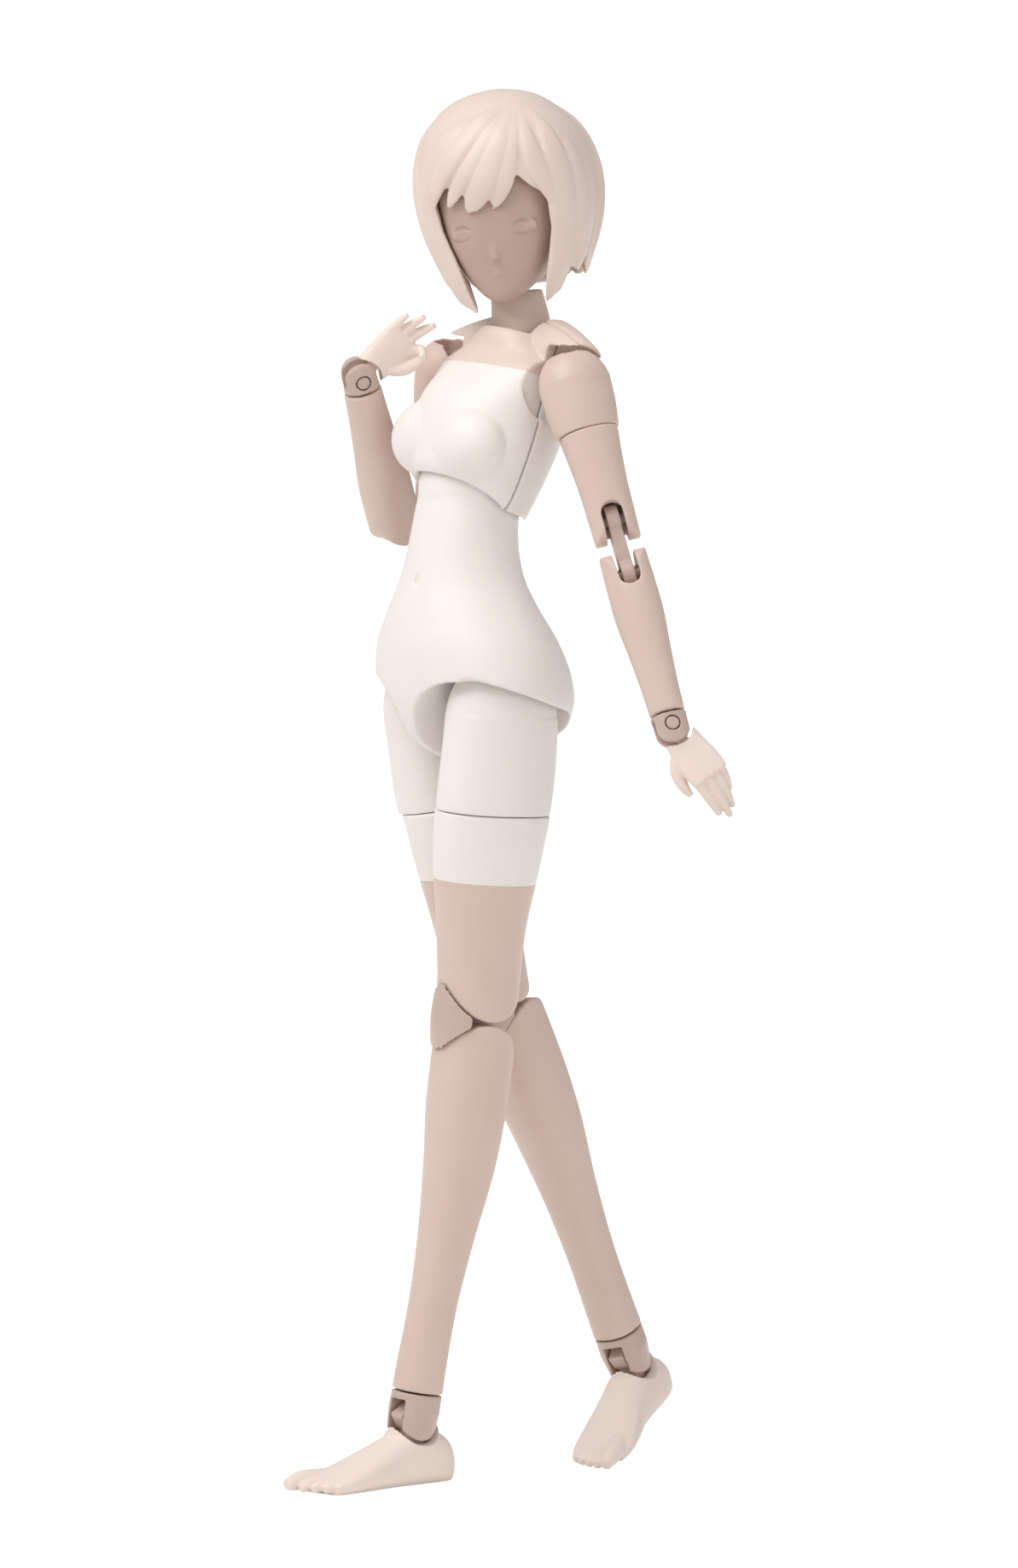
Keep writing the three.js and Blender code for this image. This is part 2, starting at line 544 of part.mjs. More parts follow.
function chest() {
  const at = CHEST.bust;
  const bust = (side) => egg(at.w, at.d, at.h, side * at.x, at.y, at.z, 20);
  const yoke = (side) =>
    taper(CHEST.yoke.map(([x, y, z]) => V(side * x, y, z)), CHEST.yokeR, { steps: 8, sides: 16 });
  let body = join(loft(CHEST.keys, 16, 24), bust(1), bust(-1), yoke(1), yoke(-1));
  const grow = 1.4 * GAP;
  const socket = join(
    loft([{ z: -5, w: 7.2, f: 6.5, b: 6.8 }, { z: 0.3, w: WAIST.domeW + grow, f: 6.2, b: 6.0 }], 2, 24),
    egg(WAIST.domeW + grow, WAIST.domeR + grow, WAIST.domeR + grow, 0, 0, 0, 24),
    rodZ(WAIST.tongueR + 2.2, 3.2, 0, 0, 4.9, 14),
    rodZ(WAIST.stemR + SEAT, 3, 0, 0, 7, 14),
    rodZ(WAIST.headR + SEAT, 1.8 + 2 * SEAT, 0, 0, 9, 14),
  );
  const cuts = [socket];
  for (const side of [1, -1]) {
    const reach = 12;
    const rod = (r, length, x) => rodX(r, length, side * x, SPINE.shoulderBack, SPINE.shoulder, 20);
    const recess = rod(SHOULDER.recessR, reach, SHOULDER.recessX + reach / 2);
    const bore = rod(SHOULDER.hubR + SEAT, 4.2, SHOULDER.recessX - 1.9);
    const collar = rod(SHOULDER.hubR + 0.7 + SEAT, 0.9 + 2 * SEAT, SHOULDER.recessX - 3.2);
    cuts.push(recess, bore, collar);
  }
  cuts.push(ball(NECK.ballR + SEAT, 0, SPINE.neckBack, SPINE.neckBase, 12));
  const collar = [
    { z: SPINE.neckBase + 1, w: NECK.r + 1.3, f: NECK.r + 1.4, b: NECK.r + 1.2, y: SPINE.neckBack },
    { z: SPINE.neckBase + 4, w: NECK.r + 1.7, f: NECK.r + 2.6, b: NECK.r + 1.7, y: SPINE.neckBack },
    { z: SPINE.neckBase + 8.5, w: NECK.r + 2.1, f: NECK.r + 4.0, b: NECK.r + 2.3, y: SPINE.neckBack },
  ];
  const below = block(BIG, BIG, BIG, 0, 0, SPINE.neckBase - BIG / 2);
  const skirtRoom = cut(ball(5.0, 0, SPINE.neckBack, SPINE.neckBase, 24), below);
  cuts.push(loft(collar, 4, 20), skirtRoom);
  body = cut(body, ...cuts);
  return body;
}

const chestFront = () => chest().intersect(block(BIG, BIG, BIG, 0, CHEST.split - 0.1 - BIG / 2, 0));
const chestBack = () => chest().intersect(block(BIG, BIG, BIG, 0, CHEST.split + 0.1 + BIG / 2, 0));

// Arms

function shoulderHub() {
  const inner = SHOULDER.recessX - ARM.shoulderSpread;
  const stem = rodX(SHOULDER.hubR, 5.0, inner - 1.0, 0, 0, 12);
  const collar = rodX(SHOULDER.hubR + 0.7, 0.9, inner - 3.2, 0, 0, 12);
  const web = block(3.2, SHOULDER.disc, 2.4, -1.4, 0, 0);
  const disc = rodY(SHOULDER.discR, SHOULDER.disc, 0, 0, 0, 12);
  const shaped = cut(join(stem, collar), ball(SHOULDER.discR - 0.1, 0, 0, 0, 12));
  return cut(join(shaped, web, disc), rodY(SHOULDER.pinR + SEAT / 2, 8, 0, 0, 0, 10));
}
const shoulderPin = () => rodY(SHOULDER.pinR, SHOULDER.pinLength, 0, 0, 0, 10);

const UPPER_ARM = {
  elbowR: 2.65,
  keys: [
    { z: -ARM.upper - 4, w: 2.6, f: 2.7, b: 2.7 },
    { z: -ARM.upper, w: 2.7, f: 2.75, b: 2.75 },
    { z: -11.5, w: 2.85, f: 3.0, b: 2.9 },
    { z: -7, w: 3.25, f: 3.5, b: 3.3 },
    { z: -3, w: 3.7, f: 4.0, b: 3.9 },
    { z: 0.5, w: 3.8, f: 4.1, b: 4.1 },
  ],
};
const FOREARM = {
  keys: [
    { z: -ARM.fore + 1.3, w: 2.0, f: 2.15 },
    { z: -13, w: 2.15, f: 2.35 },
    { z: -9, w: 2.45, f: 2.65 },
    { z: -5, w: 2.8, f: 3.0 },
    { z: -1.5, w: 2.8, f: 3.0 },
    { z: 4, w: 2.65, f: 2.7 },
  ],
};
const ELBOW = { tongue: 1.5, tongueR: 1.8, pinR: 0.6, pinLength: 4.2, play: 0.5 };

function wholeUpperArm() {
  const end = [
    ...arc(0, -ARM.upper, UPPER_ARM.elbowR, 180, 360, 14), [8, -ARM.upper], [8, 8], [-8, 8], [-8, -ARM.upper],
  ];
  const shaft = loft(UPPER_ARM.keys, 10, 18).intersect(sideProfile(end, 20));
  return join(shaft, egg(3.9, SHOULDER.capR, SHOULDER.capR, 0, 0, 0.2, 24));
}

function shoulderCap() {
  const top = cut(wholeUpperArm(), block(BIG, BIG, BIG, 0, 0, -ARM.swivel - BIG / 2));
  const room = join(
    rodY(SHOULDER.discR + SEAT, SHOULDER.disc + 2 * GAP, 0, 0, 0, 12),
    block(8, SHOULDER.disc + 2 * GAP, 8, -4 + SHOULDER.hubR + SEAT, 0, 4 - SHOULDER.hubR - SEAT),
  );
  const neck = rodX(SHOULDER.hubR + SEAT + 0.1, 4, -2 - SHOULDER.discR, 0, 0, 12);
  const neckUp = rodZ(SHOULDER.hubR + SEAT + 0.1, 4, 0, 0, 2 + SHOULDER.discR, 12);
  const sweep = [];
  for (const a of [30, 60]) {
    sweep.push(solid(
      new THREE.CylinderGeometry(SHOULDER.hubR + SEAT + 0.1, SHOULDER.hubR + SEAT + 0.1, 4, 18),
      place(0, 0, 0, 0, a, 0).multiply(place(-2 - SHOULDER.discR, 0, 0, 0, 0, 90)),
    ));
  }
  const bore = rodY(SHOULDER.pinR + SEAT, SHOULDER.pinLength + 2 * GAP, 0, 0, 0, 10);
  return cut(top, room, neck, neckUp, ...sweep, bore, SWIVEL.socket(-ARM.swivel, 0.5));
}

function upperArm() {
  const low = cut(wholeUpperArm(), block(BIG, BIG, BIG, 0, 0, -ARM.swivel - GAP + BIG / 2));
  return cut(join(low, SWIVEL.peg(-ARM.swivel, 0.5)), linkSlot(ELBOW, -ARM.upper, -1, -1));
}

const elbowLink = () => cut(linkPlate(ELBOW, ARM.elbowSpan), linkBores(ELBOW, ARM.elbowSpan));
const elbowPin = () => rodX(ELBOW.pinR, ELBOW.pinLength, 0, 0, 0, 10);

const WRIST = {
  roundR: 2.1, half: 1.1, pegR: 0.9, tongue: 1.1, tongueR: 0.85, pinR: 0.4, pinLength: 3.5, pinZ: -0.2,
  headR: 0.75, headDepth: 0.65,
};

function forearm() {
  const low = -ARM.fore + WRIST.half + GAP;
  const end = [...arc(0, 0, UPPER_ARM.elbowR, 0, 180, 14), [-8, 0], [-8, low], [8, low], [8, 0]];
  const body = loft(FOREARM.keys, 10, 18).intersect(sideProfile(end, 20));
  return cut(body, linkSlot(ELBOW, 0, 1, -1), rodZ(WRIST.pegR + SEAT, 4.4, 0, 0, low + 1.7, 10));
}

function wristBlock() {
  const band = loft(
    [
      { z: -2.6, w: 1.7, f: 1.95 },
      { z: 0, w: 1.9, f: 2.1 },
      { z: WRIST.half, w: 1.9, f: 2.1 },
    ],
    3,
    16,
  );
  const low = arc(0, WRIST.pinZ, WRIST.roundR, 180, 360, 12);
  const end = [...low, [5, WRIST.pinZ], [5, 5], [-5, 5], [-5, WRIST.pinZ]];
  const slot = block(WRIST.tongue + 2 * GAP, 6, 4, 0, 0, WRIST.pinZ + WRIST.tongueR + SEAT / 2 - 2);
  const bores = [
    rodX(WRIST.pinR + SEAT / 2, 6, 0, 0, WRIST.pinZ, 10),
    ...[1, -1].map((end) => rodX(WRIST.headR + SEAT / 2, 3, end * (pinHeadX() + 1.5 - SEAT / 2), 0, WRIST.pinZ, 14)),
  ];
  const cheeks = cut(band.intersect(sideProfile(end, 6)), slot, ...bores);
  return join(cheeks, rodZ(WRIST.pegR, 4, 0, 0, WRIST.half + 1.7, 10));
}

// Where the heads of the wrist pin begin; they end flush with the cheeks
const pinHeadX = () => WRIST.pinLength / 2 - WRIST.headDepth;

function wristPin() {
  const middle = pinHeadX() + WRIST.headDepth / 2;
  const heads = [1, -1].map((end) => rodX(WRIST.headR, WRIST.headDepth, end * middle, 0, WRIST.pinZ, 14));
  return join(rodX(WRIST.pinR, WRIST.pinLength, 0, 0, WRIST.pinZ, 10), ...heads);
}

// Fingers spread in the YZ plane of the hand, with the palm facing +X (inward on the right hand)
const HANDS = {
  relaxed: [
    { y: -1.7, base: -6.4, r: 0.6, length: 5.8, curl: 0.24, fan: -0.06 },
    { y: -0.55, base: -6.7, r: 0.62, length: 6.5, curl: 0.24, fan: 0.0 },
    { y: 0.6, base: -6.6, r: 0.6, length: 6.1, curl: 0.28, fan: 0.04 },
    { y: 1.65, base: -6.1, r: 0.53, length: 4.9, curl: 0.32, fan: 0.08 },
  ],
  raised: [
    { y: -1.75, base: -6.4, r: 0.62, length: 4.3, curl: 0.75, fan: -0.06 },
    { y: -0.6, base: -6.7, r: 0.64, length: 4.9, curl: 0.25, fan: -0.03 },
    { y: 0.55, base: -6.6, r: 0.62, length: 4.7, curl: 0.2, fan: 0.04 },
    { y: 1.65, base: -6.1, r: 0.55, length: 3.8, curl: 0.16, fan: 0.12 },
  ],
};

function hand(fingers) {
  const palm = loft(
    [
      { z: -7.4, w: 0.75, f: 2.35, b: 2.2, n: 2.8 },
      { z: -5.5, w: 0.95, f: 2.5, b: 2.3, n: 2.6 },
      { z: -3.2, w: 1.15, f: 2.2, b: 2.1, n: 2.3 },
      { z: -WRIST.half - GAP, w: 1.6, f: 1.95, b: 1.95, n: 2 },
    ],
    6,
    14,
  );
  const curl = (f, t) => {
    const bend = f.curl * Math.PI * t;
    return V(-(f.length * (1 - Math.cos(bend))) / (Math.PI * f.curl), f.y + f.fan * f.length * t,
      f.base + 1 - (f.length * Math.sin(bend)) / (Math.PI * f.curl) - 0.4 * t);
  };
  const digit = (f) =>
    taper([0, 0.33, 0.66, 1].map((t) => curl(f, t)), [f.r, f.r, f.r * 0.9, f.r * 0.5], { steps: 5, sides: 6 });
  const digits = fingers.map(digit);
  const thumb = taper(
    [V(-0.1, -1.2, -3.0), V(-0.9, -2.5, -4.4), V(-1.3, -2.9, -6.2), V(-1.4, -2.9, -7.6)],
    [0.8, 0.78, 0.64, 0.36],
    { steps: 5, sides: 6 },
  );
  const hollow = rodX(WRIST.roundR + GAP, 8, 0, 0, WRIST.pinZ, 24);
  const tongue = join(
    rodX(WRIST.tongueR, WRIST.tongue, 0, 0, WRIST.pinZ, 12),
    block(WRIST.tongue, 1.3, 2.6, 0, 0, WRIST.pinZ - 1.3),
  );
  const whole = join(cut(join(palm, ...digits, thumb), hollow), tongue);
  return cut(whole, rodX(WRIST.pinR + SEAT / 2, 4, 0, 0, WRIST.pinZ, 10));
}

// Neck and head

// The neck base tilts in the chest, and the neck bends on it
function neckBase() {
  const bore = rodX(NECK.postR + SEAT, 2 * NECK.slot + 2 * GAP, 0, 0, 0, 14);
  return cut(ball(NECK.ballR, 0, 0, 0, 18), bore, neckSlot());
}

function neckSlot() {
  return block(2 * NECK.slot + 2 * GAP, 2 * NECK.postR + 2.6, 6, 0, 0, 3);
}

function neck() {
  const column = loft(
    [
      { z: 1.6, w: 2.9, f: 2.9 },
      { z: 3.2, w: 3.4, f: 3.2, b: 3.4 },
      { z: 5.4, w: 3.05, f: 2.85, b: 3.8 },
      { z: SPINE.neck - 2.2, w: 2.7, f: 2.6, b: 3.2 },
    ],
    7,
    18,
  );
  const skirt = cut(column, ball(NECK.ballR + GAP, 0, 0, 0, 24));
  const stem = block(2 * NECK.slot, 2 * NECK.postR, 3.6, 0, 0, 1.8);
  const foot = join(rodX(NECK.postR, 2 * NECK.slot, 0, 0, 0, 14), stem);
  const post = rodZ(NECK.postR, 3, 0, 0, SPINE.neck - 1.5, 14);
  return join(skirt, foot, post);
}

const headBall = () =>
  cut(ball(NECK.topR, 0, 0, 0, 18), rodZ(NECK.postR + SEAT, 2 * NECK.topR, 0, 0, -NECK.topR + SEAT, 14));

const HEAD = {
  skull: { w: 8.0, f: 9.0, h: 9.6, y: 0.3, z: 9.6 },
  jaw: [
    { z: -3.7, w: 0.9, f: 1.1, b: 2.2, y: -4.2 },
    { z: -2.9, w: 2.2, f: 2.2, b: 4.0, y: -3.8 },
    { z: -1.0, w: 3.9, f: 4.1, b: 5.4, y: -2.7 },
    { z: 0.8, w: 5.1, f: 5.8, b: 6.2, y: -1.7 },
    { z: 3.4, w: 6.4, f: 7.6, b: 7.0, y: -0.8 },
    { z: 8.0, w: 7.6, f: 8.9, b: 8.2, y: 0 },
    { z: 11.0, w: 7.9, f: 8.9, b: 9.0, y: 0.2 },
  ],
  split: 1.4,
};

function headForm() {
  const s = HEAD.skull;
  const jaw = loft(HEAD.jaw, 9, 20);
  return join(jaw, egg(s.w, s.f, s.h, 0, s.y, s.z, 22));
}

function neckRoom() {
  return join(
    ball(NECK.topR + SEAT, 0, 0, 0, 18),
    loft([
      { z: -6, w: 5.6, f: 5.6 },
      { z: -2.6, w: 4.1, f: 4.1 },
      { z: 0.3, w: 2.9, f: 2.9 },
    ], 4, 24),
  );
}

function face() {
  const nose = taper(
    [V(0.2, -7.7, 4.2), V(0.25, -8.3, 2.6), V(0.3, -8.65, 1.7)], [0.4, 0.65, 0.45],
    { steps: 5, sides: 8, up: V(1, 0, 0) },
  );
  const lid = (side) => egg(1.95, 0.7, 1.05, 0.3 + side * 3.75, -6.95, 4.3, 20);
  const lips = egg(1.1, 0.6, 0.35, 0.3, -6.75, -0.4, 14);
  const form = join(headForm(), nose, lid(1), lid(-1), lips);
  const front = form.intersect(block(BIG, BIG, BIG, 0, HEAD.split - 0.15 - BIG / 2, 0));
  return cut(front, neckRoom());
}

function headBack() {
  const back = headForm().intersect(block(BIG, BIG, BIG, 0, HEAD.split + 0.15 + BIG / 2, 0));
  return cut(back, neckRoom());
}

// Hair

const HAIR = {
  keys: [
    { z: -5.4, w: 4.9, f: 4.0, b: 6.0, y: 1.2 },
    { z: -2, w: 7.4, f: 6.3, b: 8.2, y: 1.2 },
    { z: 2, w: 9.0, f: 8.2, b: 9.4, y: 1.1 },
    { z: 6.5, w: 10.0, f: 10.2, b: 10.2, y: 1.0 },
    { z: 11, w: 10.2, f: 11.2, b: 10.4, y: 0.9 },
    { z: 15, w: 9.3, f: 10.3, b: 9.5, y: 0.8 },
    { z: 18.2, w: 7.0, f: 7.8, b: 7.3, y: 0.8 },
    { z: 20.2, w: 4.2, f: 4.7, b: 4.5, y: 0.8 },
    { z: 21.0, w: 1.2, f: 1.4, b: 1.3, y: 0.8 },
  ],
  // the opening for the face, as [x, z] points, with the tips of the fringe along its top
  opening: [
    [-3.0, -14], [-3.2, -5.2], [-4.8, 1.5], [-5.9, 5], [-6.2, 7.5], [-5.3, 8.7], [-4.4, 7.5], [-3.5, 8.9],
    [-1.9, 6.6], [0.4, 7.7], [1.3, 6.7], [3.6, 10.4], [5.4, 8.5], [6.7, 7.6], [6.65, 3.9], [5.8, 0.85],
    [4.6, -3.5], [4.2, -4.9], [4.2, -14],
  ],
  // the lower edge seen from the side, as [y, z] points, with the tips of the locks
  hem: [
    [-14, -6.5], [-7, -6.5], [-5.4, -5.2], [-3.8, -4.4], [-1, -1.8], [0.5, 1.9], [1.6, 0.2], [2.5, -1.4],
    [3.6, -0.4], [4.5, -0.8], [5.6, 0.8], [6.8, -0.4], [8, 0.9], [9.4, -0.6], [10.6, 0.8], [14, 0.5], [14, -14],
    [-14, -14],
  ],
};

function hairForm() {
  const outer = loft(HAIR.keys, 15, 28);
  const shape = new THREE.Shape(HAIR.opening.map(([x, z]) => new THREE.Vector2(x, z)));
  const opening = new THREE.ExtrudeGeometry(shape, { depth: 16, bevelEnabled: false });
  const hem = sideProfile(HAIR.hem, 30);
  return cut(outer, solid(opening, place(0, -2.0, 0, 90)), hem, roomForHead(), neckSweep());
}

// The head's own form, grown by the gap and open below
function roomForHead() {
  const s = HEAD.skull;
  const grown = egg(s.w + GAP, s.f + GAP, s.h + GAP, 0, s.y, s.z, 22);
  const jaw = loft(HEAD.jaw.map((k) => ({ ...k, w: k.w + GAP, f: k.f + GAP, b: k.b + GAP })), 9, 20);
  const ears = rodZ(8.0, 12, 0, 1.0, 1, 20);
  return join(grown, jaw, ears);
}

// The room the neck and shoulders need below the hair
const neckSweep = () => loft([{ z: -9, w: 6.4, f: 3.6, b: 5.4 }, { z: 3, w: 6.4, f: 3.6, b: 5.4 }], 2, 20);

const hairFront = () => cut(hairForm(), block(BIG, BIG, BIG, 0, HEAD.split - 0.1 + BIG / 2, 0));
const hairBack = () => cut(hairForm(), block(BIG, BIG, BIG, 0, HEAD.split + 0.1 - BIG / 2, 0));

// Assembly: every hinge is a group that turns about its own axis

function hinge(parent, name, at, axis, degrees) {
  const g = new THREE.Group();
  g.name = name;
  g.position.set(...at);
  g.quaternion.setFromAxisAngle(V(...axis), rad(degrees));
  g.userData.axis = axis;
  parent.add(g);
  return g;
}

const TOE_GAP = 0.01; // how far the right toes stay above the level of the left sole
const FORWARD = [-1, 0, 0];
const BACKWARD = [1, 0, 0];

function addLeg(hips, word, side) {
  const p = POSE[word];
  const put = (group, name, manifold, material) =>
    group.add(mesh(word + name, forSide(manifold, side), material));
  const swing = hinge(hips, word + "_hip_swing", [side * LEG.hipSpread, 0, 0], FORWARD, p.hipSwing);
  put(swing, "_hip_hub", hipHub(), PLASTIC.joint);
  const spread = hinge(swing, word + "_hip_spread", [0, 0, 0], [0, -side, 0], p.hipSpread);
  put(spread, "_upper_thigh", upperThigh(), PLASTIC.torso);
  put(spread, "_hip_pin", hipPin(), PLASTIC.joint);
  const turn = hinge(spread, word + "_thigh_swivel", [0, 0, 0], [0, 0, side], p.thighSwivel);
  put(turn, "_lower_thigh", lowerThigh(), PLASTIC.limb);
  put(turn, "_thigh_pin", kneePin().translate([0, 0, -LEG.thigh]), PLASTIC.joint);
  const knee = hinge(turn, word + "_knee_upper", [0, 0, -LEG.thigh], BACKWARD, p.kneeUpper);
  put(knee, "_kneecap", kneeBlock(), PLASTIC.joint);
  const low = hinge(knee, word + "_knee_lower", [0, 0, -LEG.kneeSpan], BACKWARD, p.kneeLower);
  put(low, "_shin", shin(), PLASTIC.limb);
  put(low, "_shin_pin", kneePin(), PLASTIC.joint);
  const swivel = hinge(low, word + "_ankle_swivel", [0, 0, -LEG.shin], [0, 0, side], p.ankleSwivel);
  put(swivel, "_ankle_fork", ankleFork(), PLASTIC.joint);
  put(swivel, "_ankle_pin", anklePin(), PLASTIC.joint);
  const tilt = hinge(swivel, word + "_ankle_tilt", [0, 0, ANKLE.pinZ], FORWARD, p.ankleTilt);
  put(tilt, "_ankle_tongue", ankleTongue().translate([0, 0, -ANKLE.pinZ]), PLASTIC.joint);
  const rock = hinge(tilt, word + "_ankle_rock", [0, 0, ANKLE.ballZ - ANKLE.pinZ], [0, -side, 0], p.ankleRock);
  put(rock, "_foot", foot().translate([0, 0, -ANKLE.ballZ]), PLASTIC.hand);
}

function addArm(chestGroup, word, side) {
  const p = POSE[word];
  const put = (group, name, manifold, material) =>
    group.add(mesh(word + name, forSide(manifold, side), material));
  const at = [side * ARM.shoulderSpread, SPINE.shoulderBack, SPINE.shoulder];
  const swing = hinge(chestGroup, word + "_shoulder_swing", at, FORWARD, p.shoulderSwing);
  put(swing, "_shoulder_hub", shoulderHub(), PLASTIC.joint);
  const raise = hinge(swing, word + "_shoulder_raise", [0, 0, 0], [0, -side, 0], p.shoulderRaise);
  put(raise, "_shoulder_cap", shoulderCap(), PLASTIC.limb);
  put(raise, "_shoulder_pin", shoulderPin(), PLASTIC.joint);
  const turn = hinge(raise, word + "_arm_swivel", [0, 0, 0], [0, 0, side], p.armSwivel);
  put(turn, "_upper_arm", upperArm(), PLASTIC.limb);
  put(turn, "_arm_pin", elbowPin().translate([0, 0, -ARM.upper]), PLASTIC.joint);
  const elbow = hinge(turn, word + "_elbow_upper", [0, 0, -ARM.upper], FORWARD, p.elbowUpper);
  put(elbow, "_elbow_link", elbowLink(), PLASTIC.joint);
  const low = hinge(elbow, word + "_elbow_lower", [0, 0, -ARM.elbowSpan], FORWARD, p.elbowLower);
  put(low, "_forearm", forearm(), PLASTIC.limb);
  put(low, "_forearm_pin", elbowPin(), PLASTIC.joint);
  const swivel = hinge(low, word + "_wrist_swivel", [0, 0, -ARM.fore], [0, 0, side], p.wristSwivel);
  put(swivel, "_wrist_block", wristBlock(), PLASTIC.joint);
  put(swivel, "_wrist_pin", wristPin(), PLASTIC.joint);
  const bend = hinge(swivel, word + "_wrist_bend", [0, 0, WRIST.pinZ], FORWARD, p.wristBend);
  const fingers = word === "left" ? HANDS.relaxed : HANDS.raised;
  put(bend, "_hand", hand(fingers).translate([0, 0, -WRIST.pinZ]), PLASTIC.hand);
}

function assemble() {
  const figure = new THREE.Group();
  const hips = new THREE.Group();
  figure.add(hips);
  hips.add(mesh("pelvis", pelvis(), PLASTIC.torso));
  hips.add(mesh("hip_axle", hipAxle(), PLASTIC.joint));
  hips.add(mesh("waist_pin", waistPin().translate([0, 0, SPINE.waist]), PLASTIC.joint));
  addLeg(hips, "left", 1);
  addLeg(hips, "right", -1);

  const bend = hinge(hips, "waist_bend", [0, 0, SPINE.waist], BACKWARD, -POSE.waist.back);
  bend.add(mesh("waist_tongue", waistTongue(), PLASTIC.joint));
  const twist = hinge(bend, "waist_twist", [0, 0, 0], [0, 0, 1], POSE.waist.twist);
  twist.add(mesh("chest_front", chestFront(), PLASTIC.torso));
  twist.add(mesh("chest_back", chestBack(), PLASTIC.torso));
  addArm(twist, "left", 1);
  addArm(twist, "right", -1);

  const baseAt = [0, SPINE.neckBack, SPINE.neckBase];
  const tilt = hinge(twist, "neck_tilt", baseAt, [0, 1, 0], POSE.neck.tilt);
  tilt.add(mesh("neck_base", neckBase(), PLASTIC.joint));
  const neckBend = hinge(tilt, "neck_bend", [0, 0, 0], BACKWARD, POSE.neck.forward);
  neckBend.add(mesh("neck", neck(), PLASTIC.limb));
  const turn = hinge(neckBend, "head_turn", [0, 0, SPINE.neck], [0, 0, 1], POSE.head.turn);
  turn.add(mesh("head_ball", headBall(), PLASTIC.joint));
  const head = hinge(turn, "head_nod", [0, 0, 0], BACKWARD, POSE.head.nod);
  head.add(mesh("face", face(), PLASTIC.limb));
  head.add(mesh("head_back", headBack(), PLASTIC.limb));
  head.add(mesh("hair_front", hairFront(), PLASTIC.hair));
  head.add(mesh("hair_back", hairBack(), PLASTIC.hair));

  levelFoot(figure, "left");
  lowerToes(figure);
  const box = new THREE.Box3().setFromObject(figure, true);
  figure.position.set(-(box.min.x + box.max.x) / 2, -(box.min.y + box.max.y) / 2, -box.min.z);
  figure.updateMatrixWorld(true);
  return figure;
}

// Tilt and rock a foot until its sole is level with the floor
function levelFoot(figure, word) {
  figure.updateMatrixWorld(true);
  const swivel = figure.getObjectByName(word + "_ankle_swivel");
  const up = V(0, 0, 1).applyQuaternion(swivel.getWorldQuaternion(new THREE.Quaternion()).invert());
  const tilt = Math.atan2(-up.y, up.z);
  const rock = Math.atan2(up.x, Math.hypot(up.y, up.z));
  figure.getObjectByName(word + "_ankle_tilt").quaternion.setFromAxisAngle(V(1, 0, 0), tilt);
  figure.getObjectByName(word + "_ankle_rock").quaternion.setFromAxisAngle(V(0, 1, 0), rock);
}

// Tilt the right foot until its toes just reach the floor that the left foot stands on
function lowerToes(figure) {
  const tilt = figure.getObjectByName("right_ankle_tilt");
  const height = (degrees) => {
    tilt.quaternion.setFromAxisAngle(V(...FORWARD), rad(degrees));
    figure.updateMatrixWorld(true);
    const low = (name) => new THREE.Box3().setFromObject(figure.getObjectByName(name), true).min.z;
    return low("right_foot") - low("left_foot") - TOE_GAP;
  };
  let [a, b] = [POSE.right.ankleTilt, POSE.right.ankleTilt + 2];
  let [ha, hb] = [height(a), height(b)];
  for (let i = 0; i < 12 && Math.abs(hb) > 1e-4; i++) {
    const next = b - (hb * (b - a)) / (hb - ha);
    [a, ha, b] = [b, hb, next];
    hb = height(b);
  }
}

const figure = assemble();
export default figure;
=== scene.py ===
# %% [markdown]
# An unpainted, jointed figure body, one twelfth life size, standing in a walking pose.
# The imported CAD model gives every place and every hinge, and this lesson dresses it: it loads that
# model as a fixed frame, models the moulded shells again with smooth, soft-edged forms, and gives
# each piece the satin plastic it is moulded in. Lengths are in millimetres until a piece is placed.

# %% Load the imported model
import json
import math

import bmesh
import bpy
from mathutils import Matrix, Vector
from mathutils.bvhtree import BVHTree

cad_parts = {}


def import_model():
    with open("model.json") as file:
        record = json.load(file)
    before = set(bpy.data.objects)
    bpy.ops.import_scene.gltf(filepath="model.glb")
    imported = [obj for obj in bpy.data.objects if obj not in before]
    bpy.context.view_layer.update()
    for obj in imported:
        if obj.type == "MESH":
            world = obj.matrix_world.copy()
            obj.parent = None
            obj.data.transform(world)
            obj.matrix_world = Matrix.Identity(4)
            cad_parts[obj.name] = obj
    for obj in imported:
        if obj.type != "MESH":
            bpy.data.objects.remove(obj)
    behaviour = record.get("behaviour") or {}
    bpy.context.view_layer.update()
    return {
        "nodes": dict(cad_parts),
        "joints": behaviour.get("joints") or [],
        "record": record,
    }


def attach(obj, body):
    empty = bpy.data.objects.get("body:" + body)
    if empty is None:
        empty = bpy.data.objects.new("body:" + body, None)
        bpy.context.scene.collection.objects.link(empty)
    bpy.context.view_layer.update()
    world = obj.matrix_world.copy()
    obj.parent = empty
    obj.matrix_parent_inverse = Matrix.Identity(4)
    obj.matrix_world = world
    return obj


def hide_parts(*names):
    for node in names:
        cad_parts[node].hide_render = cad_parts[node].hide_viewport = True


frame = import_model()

MM = 0.001

# %% [markdown]
# The camera comes first, because some details are placed by where they show in the photograph.
# A product picture like this is taken from far away with a long lens, which keeps the limbs
# parallel. The view is from the figure's left front and a little above the hips.

# %% Camera
PHOTO_WIDTH, PHOTO_HEIGHT = 1193, 1838
PIXELS_PER_MM = 10.38
AZIMUTH, ELEVATION = math.radians(59.0), math.radians(4.58)
HIPS_PIXEL = (550.49, 832.97)
DISTANCE = 1600.0
SENSOR = 36.0

joints = {j["name"]: j for j in frame["joints"]}


def pivot(name):
    return Vector(joints[name]["pos_m"]) / MM


